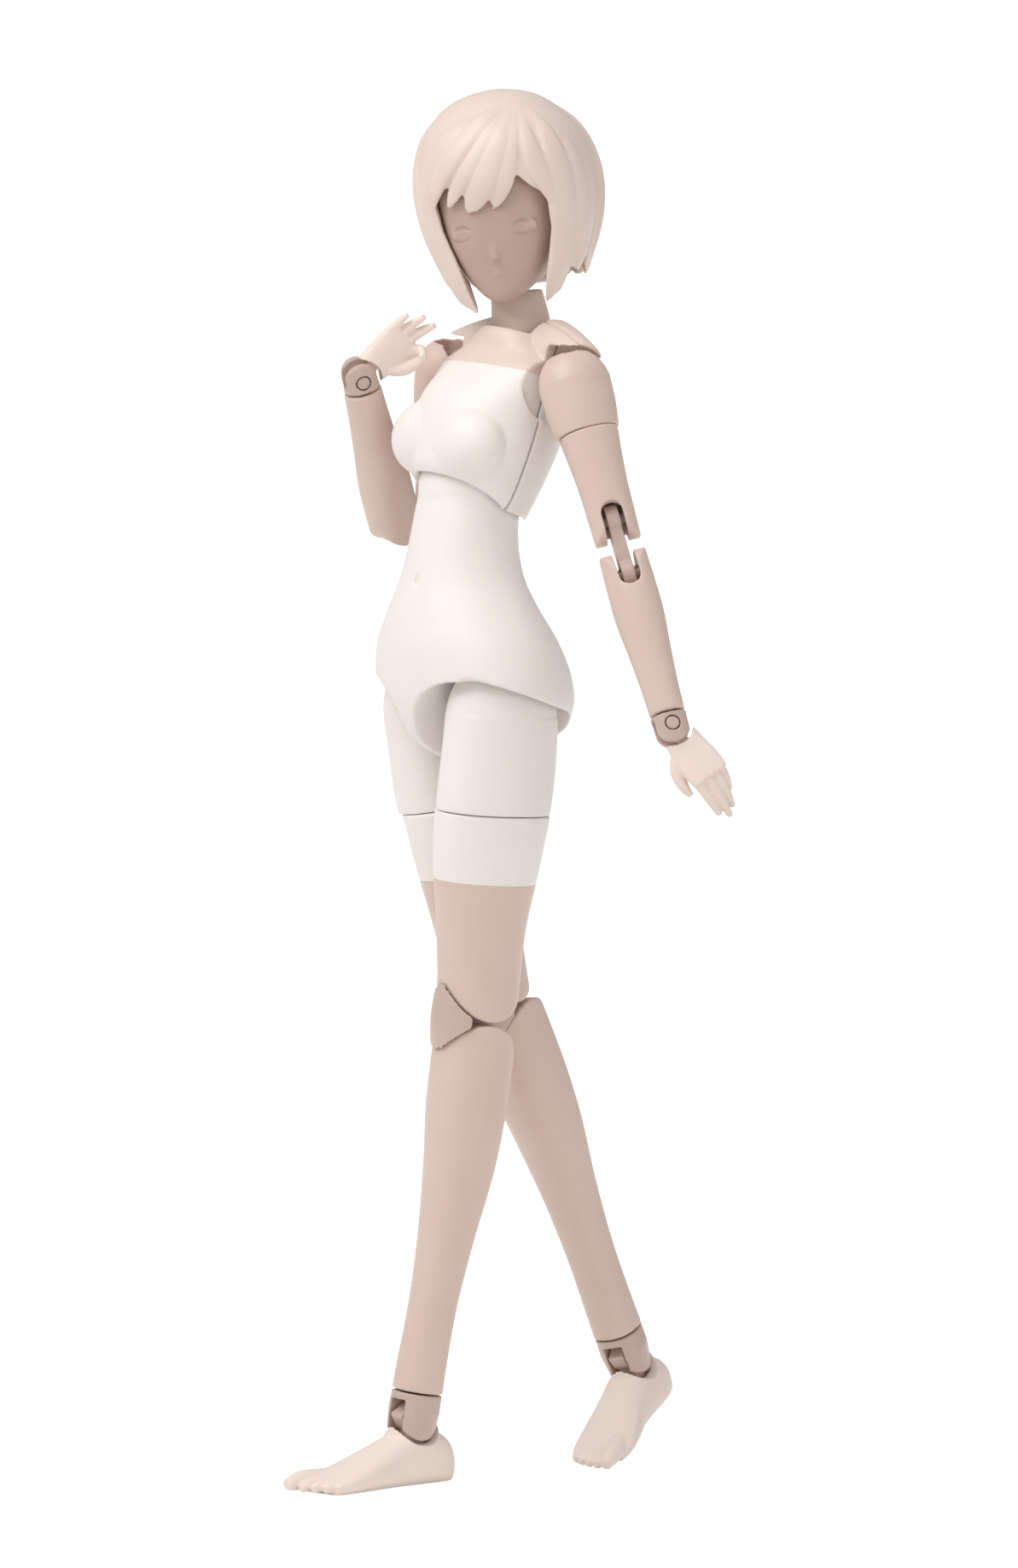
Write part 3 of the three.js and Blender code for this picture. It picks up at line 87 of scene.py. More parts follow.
def turning_axis(name, sign=1):
    return Vector(joints[name]["axis"]).normalized() * sign


hips = (pivot("left_hip_swing") + pivot("right_hip_swing")) / 2
back = Vector((
    math.sin(AZIMUTH) * math.cos(ELEVATION),
    -math.cos(AZIMUTH) * math.cos(ELEVATION),
    math.sin(ELEVATION),
))
right = Vector((math.cos(AZIMUTH), math.sin(AZIMUTH), 0))
up = back.cross(right)
middle = (
    hips
    + right * (PHOTO_WIDTH / 2 - HIPS_PIXEL[0]) / PIXELS_PER_MM
    - up * (PHOTO_HEIGHT / 2 - HIPS_PIXEL[1]) / PIXELS_PER_MM
)

lens = bpy.data.cameras.new("long_lens")
lens.sensor_width = SENSOR
lens.lens = DISTANCE * SENSOR / (PHOTO_HEIGHT / PIXELS_PER_MM)
lens.clip_start = 0.05
lens.clip_end = 50
camera = bpy.data.objects.new("camera", lens)
bpy.context.scene.collection.objects.link(camera)
camera.matrix_world = (
    Matrix.Translation((middle + back * DISTANCE) * MM) @ Matrix((right, up, back)).transposed().to_4x4()
)
bpy.context.scene.camera = camera
print("lens", round(lens.lens), "mm")


def sight(x, y):
    """The line of sight through a pixel of the photograph, as a point and a direction in mm."""
    sideways = right * (x - PHOTO_WIDTH / 2) / PIXELS_PER_MM
    downward = up * (y - PHOTO_HEIGHT / 2) / PIXELS_PER_MM
    eye = middle + back * DISTANCE
    return eye, (middle + sideways - downward - eye).normalized()


# %% [markdown]
# Every shell is drawn hanging straight down from its own joint, as on a workbench, with X to the
# figure's left and Y to its back. A stand then turns it to where the pose holds it. The hinges of
# the CAD model give each stand: a hinge axis is one of its sides, and the pivots are its origins.

# %% Stands
def stand(origin, x=None, y=None, z=None):
    if x is None:
        x = y.cross(z)
    if z is None:
        z = x.cross(y)
    z = z.normalized()
    x = (x - z * x.dot(z)).normalized()
    y = z.cross(x)
    return Matrix.Translation(origin) @ Matrix((x, y, z)).transposed().to_4x4()


def across(axis, degrees):
    return Matrix.Rotation(math.radians(degrees), 4, axis)


# the turns of hands, head and rear foot, as the CAD poses them: no later hinge gives them away
WRIST_BEND = {"left": -23.6, "right": 61.7}
HEAD_NOD = -3.2
RIGHT_FOOT_ROCK = 3.0

stands = {
    "pelvis": stand(
        hips,
        x=pivot("left_hip_swing") - pivot("right_hip_swing"),
        z=pivot("waist_bend") - hips,
    ),
    "chest": stand(
        pivot("waist_bend"),
        x=pivot("left_shoulder_swing") - pivot("right_shoulder_swing"),
        z=turning_axis("waist_twist"),
    ),
    "neck": stand(pivot("neck_bend"), x=turning_axis("neck_bend"), z=turning_axis("head_turn")),
    "neck_base": stand(pivot("neck_tilt"), x=turning_axis("neck_bend"), y=turning_axis("neck_tilt")),
}
stands["head"] = stand(
    pivot("head_nod"), x=turning_axis("head_nod"), z=turning_axis("head_turn"),
) @ across("X", HEAD_NOD)
SIDES = {"left": 1, "right": -1}
for word, side in SIDES.items():
    hip = pivot(word + "_hip_swing")
    thigh_up = turning_axis(word + "_thigh_swivel", side)
    stands[word + "_upper_thigh"] = stand(hip, y=turning_axis(word + "_hip_spread"), z=thigh_up)
    stands[word + "_lower_thigh"] = stand(hip, x=turning_axis(word + "_knee_upper"), z=thigh_up)
    knee, low_knee = pivot(word + "_knee_upper"), pivot(word + "_knee_lower")
    stands[word + "_kneecap"] = stand(knee, x=turning_axis(word + "_knee_upper"), z=knee - low_knee)
    shin_up = turning_axis(word + "_ankle_swivel", side)
    stands[word + "_shin"] = stand(low_knee, x=turning_axis(word + "_knee_lower"), z=shin_up)
    tilted = turning_axis(word + "_ankle_tilt", -1)
    rocked = turning_axis(word + "_ankle_rock", -side)
    rocker = pivot(word + "_ankle_rock")
    if word == "left":
        stands["left_foot"] = stand(rocker, y=rocked, z=Vector((0, 0, 1)))
    else:
        stands["right_foot"] = stand(rocker, x=tilted, y=rocked) @ across("Y", RIGHT_FOOT_ROCK)
    shoulder = pivot(word + "_shoulder_swing")
    arm_up = turning_axis(word + "_arm_swivel", side)
    raised = turning_axis(word + "_shoulder_raise", -side)
    stands[word + "_shoulder_cap"] = stand(shoulder, y=raised, z=arm_up)
    stands[word + "_upper_arm"] = stand(shoulder, x=turning_axis(word + "_elbow_upper", -1), z=arm_up)
    fore_up = turning_axis(word + "_wrist_swivel", side)
    stands[word + "_forearm"] = stand(
        pivot(word + "_elbow_lower"), x=turning_axis(word + "_elbow_lower", -1), z=fore_up,
    )
    wrist = pivot(word + "_wrist_bend")
    bend = turning_axis(word + "_wrist_bend", -1)
    stands[word + "_hand"] = stand(wrist, x=bend, z=fore_up) @ across("X", -WRIST_BEND[word])
print(len(stands), "stands")

# %% [markdown]
# A moulded shell is a plain solid with room cut into it for its neighbours, and its edges are
# rounded by the mould. So each one is made the same way here: sections, eggs, rods and blocks are
# joined and cut as solids, then the result is remeshed finely and smoothed a little, which rounds
# every edge as a mould does. The tools below each make one kind of solid.

# %% Solids
def solid(bm):
    mesh = bpy.data.meshes.new("solid")
    bmesh.ops.recalc_face_normals(bm, faces=bm.faces)
    bm.to_mesh(mesh)
    bm.free()
    piece = bpy.data.objects.new("solid", mesh)
    bpy.context.scene.collection.objects.link(piece)
    return piece


def at(x=0.0, y=0.0, z=0.0, turn=Matrix.Identity(4), size=(1, 1, 1)):
    return Matrix.Translation((x, y, z)) @ turn @ Matrix.Diagonal((*size, 1))


def egg(rx, ry, rz, x=0.0, y=0.0, z=0.0, sides=48):
    bm = bmesh.new()
    bmesh.ops.create_uvsphere(
        bm, u_segments=sides, v_segments=sides // 2, radius=1, matrix=at(x, y, z, size=(rx, ry, rz)),
    )
    return solid(bm)


ALONG = {"X": across("Y", 90), "Y": across("X", 90), "Z": Matrix.Identity(4)}


def rod(axis, radius, length, x=0.0, y=0.0, z=0.0, turn=Matrix.Identity(4), sides=48):
    bm = bmesh.new()
    bmesh.ops.create_cone(
        bm, cap_ends=True, segments=sides, radius1=radius, radius2=radius, depth=length,
        matrix=turn @ at(x, y, z, turn=ALONG[axis]),
    )
    return solid(bm)


def block(width, depth, height, x=0.0, y=0.0, z=0.0, turn=Matrix.Identity(4)):
    bm = bmesh.new()
    bmesh.ops.create_cube(bm, size=1, matrix=turn @ at(x, y, z, size=(width, depth, height)))
    return solid(bm)


def slab(outline, width):
    """An outline in the side view, as (y, z) points, given a width from side to side."""
    bm = bmesh.new()
    face = bm.faces.new([bm.verts.new((-width / 2, y, z)) for y, z in outline])
    pulled = bmesh.ops.extrude_face_region(bm, geom=[face])
    moved = [v for v in pulled["geom"] if isinstance(v, bmesh.types.BMVert)]
    bmesh.ops.translate(bm, verts=moved, vec=(width, 0, 0))
    return solid(bm)


def arc(y, z, radius, start, stop, steps=24):
    turns = [math.radians(start + (stop - start) * i / steps) for i in range(steps + 1)]
    return [(y + radius * math.cos(t), z + radius * math.sin(t)) for t in turns]


# %% [markdown]
# A limb is a stack of rounded sections. Each section gives half the width, the reach to the front
# and to the back, and how square it is. A few sections are enough, because a curve through them
# gives the ones between. Every new section is the cap of the last one, extruded and reshaped.

# %% Lofts
def curve_through(stops, values, t):
    """A smooth curve through values at rising stops."""
    i = max(0, min(len(stops) - 2, next((k for k, s in enumerate(stops) if s > t), len(stops)) - 1))

    def slope(k):
        if k == 0 or k == len(stops) - 1:
            near = min(max(k, 1), len(stops) - 1)
            return (values[near] - values[near - 1]) / (stops[near] - stops[near - 1])
        return (values[k + 1] - values[k - 1]) / (stops[k + 1] - stops[k - 1])

    span = stops[i + 1] - stops[i]
    u = (t - stops[i]) / span
    rise = values[i + 1] - values[i]
    a = slope(i) * span - rise
    b = rise - slope(i + 1) * span
    return values[i] * (1 - u) + values[i + 1] * u + u * (1 - u) * (a * (1 - u) + b * u)


def section(z, w, f, b=None, n=2.2, x=0.0, y=0.0):
    return {"z": z, "w": w, "f": f, "b": f if b is None else b, "n": n, "x": x, "y": y}


def stack(rings):
    """Rings of points, each one the last ring's cap extruded and moved."""
    bm = bmesh.new()
    bmesh.ops.create_circle(bm, cap_ends=True, segments=len(rings[0]), radius=1)
    number = bm.verts.layers.int.new("number")
    cap = bm.faces[:]
    for i, vert in enumerate(cap[0].verts):
        vert[number] = i
    for k, ring in enumerate(rings):
        if k:
            pulled = bmesh.ops.extrude_face_region(bm, geom=cap)["geom"]
            if k > 1:
                bmesh.ops.delete(bm, geom=cap, context="FACES_ONLY")
            cap = [g for g in pulled if isinstance(g, bmesh.types.BMFace)]
        for vert in cap[0].verts:
            vert.co = ring[vert[number]]
    return solid(bm)


def loft(sections, steps=30, sides=48):
    stops = [s["z"] for s in sections]
    rings = []
    for step in range(steps + 1):
        z = stops[0] + (stops[-1] - stops[0]) * step / steps
        s = {k: curve_through(stops, [one[k] for one in sections], z) for k in sections[0]}
        ring = []
        for i in range(sides):
            t = 2 * math.pi * i / sides
            wide = math.copysign(abs(math.cos(t)) ** (2 / s["n"]), math.cos(t))
            deep = math.copysign(abs(math.sin(t)) ** (2 / s["n"]), math.sin(t))
            reach = s["f"] if deep < 0 else s["b"]
            ring.append(Vector((s["x"] + s["w"] * wide, s["y"] + reach * deep, z)))
        rings.append(ring)
    return stack(rings)


def taper(points, radii, flat=1.0, over=Vector((0, 1, 0)), steps=16, sides=16):
    """A finger, toe or lock of hair along a curve through points; flat squeezes it along over."""
    points = [Vector(p) for p in points]
    last = len(points) - 1
    ends = [i * last / (len(radii) - 1) for i in range(len(radii))]

    def place_at(t):
        return Vector([curve_through(list(range(last + 1)), [p[k] for p in points], t) for k in range(3)])

    rings = []
    for step in range(steps + 1):
        t = last * step / steps
        here = place_at(t)
        ahead = (place_at(min(t + 0.02, last)) - place_at(max(t - 0.02, 0))).normalized()
        beside = ahead.cross(over(here) if callable(over) else over).normalized()
        lift = beside.cross(ahead)
        r = max(curve_through(ends, radii, t), 0.05)
        turns = [2 * math.pi * i / sides for i in range(sides)]
        rings.append([here + beside * (r * math.cos(a)) + lift * (r * flat * math.sin(a)) for a in turns])
    return stack(rings)


# %% [markdown]
# Solids are combined with Boolean modifiers. The Manifold solver is quick and exact for closed
# forms like these. The tools that were used up are deleted, so only the result is left.

# %% Joining and cutting
def combine(base, operation, tools):
    for tool in tools:
        modifier = base.modifiers.new(operation.lower(), "BOOLEAN")
        modifier.operation = operation
        modifier.solver = "MANIFOLD"
        modifier.object = tool
    settle(base)
    for tool in tools:
        bpy.data.objects.remove(tool)
    return base


def settle(piece):
    """Make the piece's modifiers part of its mesh."""
    graph = bpy.context.evaluated_depsgraph_get()
    mesh = bpy.data.meshes.new_from_object(piece.evaluated_get(graph))
    mesh.materials.clear()
    piece.modifiers.clear()
    piece.data = mesh
    return piece


def join(base, *tools):
    return combine(base, "UNION", tools)


def cut(base, *tools):
    return combine(base, "DIFFERENCE", tools)


def keep(base, *tools):
    return combine(base, "INTERSECT", tools)


def round_edges(piece, grain, soften):
    remesh = piece.modifiers.new("remesh", "REMESH")
    remesh.mode = "VOXEL"
    remesh.voxel_size = grain
    remesh.use_smooth_shade = True
    smooth = piece.modifiers.new("smooth", "SMOOTH")
    smooth.factor = 0.5
    smooth.iterations = soften


def mould(piece, grain=0.2, soften=3):
    """Round every edge: remesh in cells of one grain, then smooth over a few of them."""
    round_edges(piece, grain, soften)
    return settle(piece)


FLIP = Matrix.Diagonal((-1, 1, 1, 1))


def deliver(piece, name, where, nodes, finish, mirrored=False):
    """Turn the finished piece onto its stand in the pose, and let it ride with its body."""
    mesh = piece.data
    if mirrored:
        mesh.transform(FLIP)
        mesh.flip_normals()
    mesh.transform(Matrix.Scale(MM, 4) @ stands[where])
    piece.name = name
    mesh.name = name
    for one in finish if isinstance(finish, tuple) else (finish,):
        mesh.materials.append(one)
    mesh.shade_smooth()
    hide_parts(*nodes)
    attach(piece, body_holding[nodes[0]])
    print(name, len(mesh.polygons), "faces")
    return piece


body_holding = {
    node: body for body, nodes in frame["record"]["behaviour"]["bodies"].items() for node in nodes
}

# %% [markdown]
# Satin plastic has a fine, even grain from the mould, a soft broad shine, and lets a little light
# in, so its shadows turn warm. Hex colours are what the eye sees; one function turns them to the
# linear numbers that Blender works in, and another adds any node with its settings and links.

# %% Material tools
def linear(code):
    parts = [int(code[i:i + 2], 16) / 255 for i in (0, 2, 4)]
    return [p / 12.92 if p <= 0.04045 else ((p + 0.055) / 1.055) ** 2.4 for p in parts] + [1.0]


def add_node(tree, kind, settings=(), **inputs):
    """A node with its settings. An input goes by its name, or by its number as i0, i1 and so on."""
    node = tree.nodes.new("ShaderNode" + kind)
    for key, value in dict(settings).items():
        setattr(node, key, value)
    for key, value in inputs.items():
        numbered = key[0] == "i" and key[1:].isdigit()
        socket = node.inputs[int(key[1:]) if numbered else key.replace("_", " ")]
        if isinstance(value, bpy.types.NodeSocket):
            tree.links.new(value, socket)
        else:
            socket.default_value = value
    return node


GRAIN = 0.35 * MM  # the mould's spark-eroded grain, drawn several times coarser so that it shows
FLOW = 9 * MM  # width of the faint clouds that plastic leaves as it flows into the mould


def satin_plastic(name, light, shade, roughness, glow):
    """Moulded plastic: two close colours in faint clouds, a grain in the bump, a soft shine."""
    material = bpy.data.materials.new(name)
    material.use_nodes = True
    tree = material.node_tree
    tree.nodes.clear()
    place = add_node(tree, "TexCoord").outputs["Object"]
    clouds = add_node(tree, "TexNoise", Vector=place, Scale=1 / FLOW, Detail=3.0, Roughness=0.5)
    mix = add_node(
        tree, "Mix", {"data_type": "RGBA"}, i0=clouds.outputs["Fac"], i6=linear(light), i7=linear(shade),
    )
    grain = add_node(tree, "TexNoise", Vector=place, Scale=1 / GRAIN, Detail=2.0, Roughness=0.6)
    rough = add_node(
        tree, "MapRange",
        i0=clouds.outputs["Fac"], i1=0.3, i2=0.7, i3=roughness - 0.04, i4=roughness + 0.05,
    )
    bump = add_node(tree, "Bump", Strength=0.12, Distance=0.02 * MM, Height=grain.outputs["Fac"])
    shader = add_node(
        tree, "BsdfPrincipled",
        Base_Color=mix.outputs[2], Roughness=rough.outputs[0], IOR=1.52, Normal=bump.outputs[0],
        Subsurface_Weight=glow, Subsurface_Scale=1.2 * MM,
    )
    shader.inputs["Subsurface Radius"].default_value = (1.0, 0.45, 0.3)
    output = add_node(tree, "OutputMaterial")
    tree.links.new(shader.outputs[0], output.inputs["Surface"])
    return material


# %% The plastics
torso_abs = satin_plastic("ivory_moulded_abs", "f8f3f0", "f2ebe8", 0.5, 0.1)
upper_abs = satin_plastic("cream_moulded_abs", "ead8ce", "e4d0c5", 0.48, 0.1)
limb_abs = satin_plastic("beige_moulded_abs", "dfc9be", "d8c0b4", 0.46, 0.1)
soft_pvc = satin_plastic("pale_beige_soft_pvc", "f6e9e1", "efddd3", 0.5, 0.12)
hair_pvc = satin_plastic("sand_moulded_pvc", "ecddd4", "e5d1c7", 0.46, 0.1)
joint_pom = satin_plastic("pinkish_beige_moulded_pom", "cdb7ae", "c5ada3", 0.38, 0.1)
# the head's beige soft plastic, darkened below the limbs' beige to paint the shade that the fringe casts
# on the face
face_painted_shade_pvc = satin_plastic("face_beige_painted_shade_pvc", "c5ada1", "bda396", 0.5, 0.14)
print(len(bpy.data.materials), "materials")

# %% [markdown]
# The legs. A thigh is two shells that swivel on each other below the hip dome. Its lower end is
# round, and is slotted for the flat link in the knee, which folds to the back. The kneecap closes
# the front between the two round ends. The shin swells at the calf and narrows to the ankle. The
# photograph shows the thighs ivory down to a level line, so the lower shell takes two plastics.

# %% Leg sizes
GAP = 0.22  # between shells that pass each other
SEAT = 0.3  # round pins, pegs and links
SEAM = 0.1  # at a swivel
BIG = 60.0  # more than any piece
LINK_NECK = 50.0  # degrees below level where a link's round ends turn into its straight middle
PEG = {"r": 2.1, "length": 4, "head_r": 2.6, "head": 1.2, "reach": 4.6}
THIGH_LENGTH = (pivot("left_hip_swing") - pivot("left_knee_upper")).length
KNEE_SPAN = (pivot("left_knee_upper") - pivot("left_knee_lower")).length
SHIN_LENGTH = (pivot("left_knee_lower") - pivot("left_ankle_swivel")).length
THIGH_SWIVEL = 11.0
KNEE = {"r": 4.5, "tongue": 2.6, "tongue_r": 3.1, "pin_r": 0.8, "pin_length": 6.0}
THIGH_SECTIONS = [
    section(-THIGH_LENGTH - KNEE["r"] - 1, 4.3, 4.5, 4.5),
    section(-THIGH_LENGTH, 4.4, 4.7, 4.6),
    section(-24, 4.6, 5.4, 4.8),
    section(-17, 5.0, 6.4, 5.9, x=0.1),
    section(-10, 5.0, 6.9, 6.7, x=0.4),
    section(-4, 4.9, 6.7, 6.9, x=0.4),
    section(1, 4.8, 6.6, 6.6, x=0.35),
]
DOME = {"w": 4.85, "r": 6.7, "x": 0.35}
# room for the hip's hub in the dome: its disc, its pin, and the round axle end and flat stem beside it
HUB_ROOM = {"disc_r": 2.7, "disc": 2.44, "pin_r": 1.1, "pin_length": 7.8, "axle_r": 2.3, "stem": 3.24}
HUB_LEANS = (-12, 0, 10, 20, 25)
THIGH_TONE_LINE = -18.85  # the photograph shows the thigh ivory down to here and beige below
KNEECAP_BACK = -2.4
SHIN_SECTIONS = [
    section(-SHIN_LENGTH + 1.6, 2.75, 2.8, 3.0),
    section(-35, 2.7, 2.7, 2.9),
    section(-28, 2.75, 2.4, 3.0),
    section(-20, 3.1, 2.6, 3.8),
    section(-12, 3.9, 3.2, 4.8),
    section(-5, 4.3, 4.1, 5.0),
    section(KNEE["r"] + 1, 4.3, 4.6, 4.6),
]


# %% Leg shells
def link_slot(link, z, down, fold):
    """Room in a round end for a flat link: open below, and on the side that the link folds to."""
    width = link["tongue"] + 2 * link.get("play", GAP)
    r = link["tongue_r"] + SEAT
    neck = link["tongue_r"] * math.cos(math.radians(LINK_NECK)) + SEAT
    rounded = []
    if "play" in link:
        neck -= math.sqrt(width ** 2 - link["tongue"] ** 2) / 2
        rounded.append(rod("Y", width / 2, 8, y=fold * 4, z=z - down * neck))
    return rounded + [
        rod("X", r, width, z=z),
        block(width, 2 * r, 8, z=z + down * 4),
        block(width, 8, 8 + neck, y=fold * 4, z=z + down * (8 - neck) / 2),
        rod("X", link["pin_r"] + SEAT, link["pin_length"] + 2 * GAP, z=z),
    ]


def swivel_peg(z, scale):
    return [
        rod("Z", PEG["r"] * scale, PEG["length"] * scale + 1, z=z + (PEG["length"] * scale - 1) / 2),
        rod("Z", PEG["head_r"] * scale, PEG["head"] * scale, z=z + PEG["length"] * scale),
    ]


def swivel_socket(z, scale):
    height = PEG["reach"] * scale + SEAT
    head_z = z + PEG["length"] * scale
    return [
        rod("Z", PEG["r"] * scale + SEAT, height + 1, z=z + (height - 1) / 2),
        rod("Z", PEG["head_r"] * scale + SEAT, PEG["head"] * scale + 2 * SEAT, z=head_z),
    ]


def whole_thigh():
    outline = arc(0, -THIGH_LENGTH, KNEE["r"], 180, 360) + [
        (8, -THIGH_LENGTH), (8, 0), (8, 3), (-8, 3), (-8, 0), (-8, -THIGH_LENGTH),
    ]
    shaft = keep(loft(THIGH_SECTIONS, steps=40), slab(outline, 20), rod("Z", 30, 60, z=-30))
    return join(shaft, egg(DOME["w"], DOME["r"], DOME["r"], DOME["x"]))


def above(z):
    return block(BIG, BIG, BIG, z=z + BIG / 2)


def below(z):
    return block(BIG, BIG, BIG, z=z - BIG / 2)


def behind(y, gap=0.0):
    return block(BIG, BIG, BIG, y=y - gap + BIG / 2)


def before(y, gap=0.0):
    return block(BIG, BIG, BIG, y=y + gap - BIG / 2)


def upper_thigh():
    hub = [
        rod("Y", HUB_ROOM["disc_r"], HUB_ROOM["disc"]),
        rod("Y", HUB_ROOM["pin_r"], HUB_ROOM["pin_length"]),
    ]
    for lean in HUB_LEANS:
        turn = across("Y", lean)
        hub.append(rod("X", HUB_ROOM["axle_r"], 8, x=-7, turn=turn))
        hub.append(block(8, HUB_ROOM["disc"], HUB_ROOM["stem"], x=-4, turn=turn))
    return mould(cut(whole_thigh(), below(-THIGH_SWIVEL), *swivel_socket(-THIGH_SWIVEL, 1), *hub))


def two_tone(shell, line):
    """Give a shell its second plastic above a level line."""
    bm = bmesh.new()
    bm.from_mesh(shell.data)
    everything = bm.verts[:] + bm.edges[:] + bm.faces[:]
    bmesh.ops.bisect_plane(bm, geom=everything, plane_co=(0, 0, line), plane_no=(0, 0, 1))
    for face in bm.faces:
        face.material_index = int(face.calc_center_median().z > line)
    bm.to_mesh(shell.data)
    bm.free()
    return shell


def lower_thigh():
    low = join(cut(whole_thigh(), above(-THIGH_SWIVEL - SEAM)), *swivel_peg(-THIGH_SWIVEL, 1))
    return two_tone(mould(cut(low, *link_slot(KNEE, -THIGH_LENGTH, -1, 1))), THIGH_TONE_LINE)


def shin():
    low = -SHIN_LENGTH + 2.1 + GAP
    outline = arc(0, 0, KNEE["r"], 0, 180) + [(-8, 0), (-8, low), (8, low), (8, 0)]
    body = keep(loft(SHIN_SECTIONS, steps=50), slab(outline, 20))
    return mould(cut(body, *link_slot(KNEE, 0, 1, 1), rod("Z", 1.5, 5, z=low + 2)))


def link_plate(link, span):
    r = link["tongue_r"]
    top = arc(0, 0, r, -LINK_NECK, 180 + LINK_NECK)
    bottom = arc(0, -span, r, 180 - LINK_NECK, 360 + LINK_NECK)
    return slab(top + bottom, link["tongue"])


def kneecap():
    sections = [
        section(-KNEE_SPAN - 0.2, 4.3, 4.5),
        section(-KNEE_SPAN / 2, 4.5, 5.0),
        section(0.2, 4.4, 4.6),
    ]
    front = cut(
        loft(sections, steps=12),
        behind(KNEECAP_BACK),
        rod("X", KNEE["r"] + GAP, 20),
        rod("X", KNEE["r"] + GAP, 20, z=-KNEE_SPAN),
    )
    web = block(KNEE["tongue"], 2.6, 2.4, y=-2.3, z=-KNEE_SPAN / 2)
    bores = [rod("X", KNEE["pin_r"] + SEAT, 9), rod("X", KNEE["pin_r"] + SEAT, 9, z=-KNEE_SPAN)]
    return mould(cut(join(front, link_plate(KNEE, KNEE_SPAN), web), *bores), grain=0.15, soften=2)


for word in SIDES:
    mirrored = word == "right"
    for part, make, finish, slot in (
        ("upper_thigh", upper_thigh, torso_abs, "torso_plastic"),
        ("lower_thigh", lower_thigh, (limb_abs, torso_abs), "limb_plastic"),
        ("kneecap", kneecap, joint_pom, "joint_plastic"),
        ("shin", shin, limb_abs, "limb_plastic"),
    ):
        node = word + "_" + part
        deliver(make(), node + "_shell", node, [node], finish, mirrored)

# %% [markdown]
# The arms are built as the legs are. The shoulder cap is an egg that hangs on a hub, with a slot
# up its inner side that stays dark in the photograph. The elbow has two round ends with one flat
# link between them, and each round end is slotted towards the front, where the arm folds.

# %% Arm sizes
UPPER_LENGTH = (pivot("left_shoulder_swing") - pivot("left_elbow_upper")).length
FORE_LENGTH = (pivot("left_elbow_lower") - pivot("left_wrist_swivel")).length
ARM_SWIVEL = 5.6
ELBOW_R = 2.65
ELBOW = {"tongue": 1.5, "tongue_r": 1.8, "pin_r": 0.6, "pin_length": 4.2, "play": 0.5}
HUB_R = 1.7
DISC_R = 1.9
CAP_R = 4.1
SHOULDER_ROOM = {"slot": 2.24, "pin_r": 0.95, "pin_length": 6.04, "round": 0.1}
ARM_PEG = 0.5  # the arm's peg is half the size of the thigh's
LIMB_GRAIN = 0.18
WRIST_HALF = 1.1
WRIST_R = 2.1
WRIST_PIN_Z = -0.2
UPPER_SECTIONS = [
    section(-UPPER_LENGTH - 4, 2.6, 2.7),
    section(-UPPER_LENGTH, 2.7, 2.75),
    section(-11.5, 2.85, 3.0, 2.9),
    section(-7, 3.25, 3.5, 3.3),
    section(-3, 3.7, 4.0, 3.9),
    section(0.5, 3.8, 4.1),
]
FORE_SECTIONS = [
    section(-FORE_LENGTH + 1.3, 2.0, 2.15),
    section(-13, 2.15, 2.35),
    section(-9, 2.45, 2.65),
    section(-5, 2.8, 3.0),
    section(-1.5, 2.8, 3.0),
    section(4, 2.65, 2.7),
]


# %% Arm shells
def whole_upper_arm():
    outline = arc(0, -UPPER_LENGTH, ELBOW_R, 180, 360) + [
        (8, -UPPER_LENGTH), (8, 8), (-8, 8), (-8, -UPPER_LENGTH),
    ]
    shaft = keep(loft(UPPER_SECTIONS, steps=30), slab(outline, 20))
    return join(shaft, egg(3.9, CAP_R, CAP_R, z=0.2))


def shoulder_cap():
    r = HUB_R + SEAT + SHOULDER_ROOM["round"]
    room = [
        rod("Y", DISC_R + SEAT, SHOULDER_ROOM["slot"]),
        block(8, SHOULDER_ROOM["slot"], 8, x=-4 + HUB_R + SEAT, z=4 - HUB_R - SEAT),
        rod("Y", SHOULDER_ROOM["pin_r"], SHOULDER_ROOM["pin_length"]),
    ]
    for lean in (0, 30, 60, 90):
        room.append(rod("X", r, 4, x=-2 - DISC_R, turn=across("Y", lean)))
    socket = swivel_socket(-ARM_SWIVEL, ARM_PEG)
    return mould(cut(whole_upper_arm(), below(-ARM_SWIVEL), *room, *socket), grain=LIMB_GRAIN)


def upper_arm():
    low = join(cut(whole_upper_arm(), above(-ARM_SWIVEL - SEAM)), *swivel_peg(-ARM_SWIVEL, ARM_PEG))
    return mould(cut(low, *link_slot(ELBOW, -UPPER_LENGTH, -1, -1)), grain=LIMB_GRAIN)


def forearm():
    low = -FORE_LENGTH + WRIST_HALF + GAP
    outline = arc(0, 0, ELBOW_R, 0, 180) + [(-8, 0), (-8, low), (8, low), (8, 0)]
    body = keep(loft(FORE_SECTIONS, steps=30), slab(outline, 20))
    body = cut(body, *link_slot(ELBOW, 0, 1, -1), rod("Z", 1.2, 4.4, z=low + 1.7))
    return mould(body, grain=LIMB_GRAIN)


for word in SIDES:
    mirrored = word == "right"
    for part, make in (("shoulder_cap", shoulder_cap), ("upper_arm", upper_arm), ("forearm", forearm)):
        node = word + "_" + part
        deliver(make(), node + "_shell", node, [node], limb_abs, mirrored)

# %% [markdown]
# The trunk is a long shell for the hips and abdomen, domed at the top, and a chest that sits over
# that dome. The hip openings are cut where the thighs swing. The navel is a small dent that is
# placed by its pixel in the photograph and pressed into the belly. The chest is cream above a level
# line and ivory below it, as in the photograph.

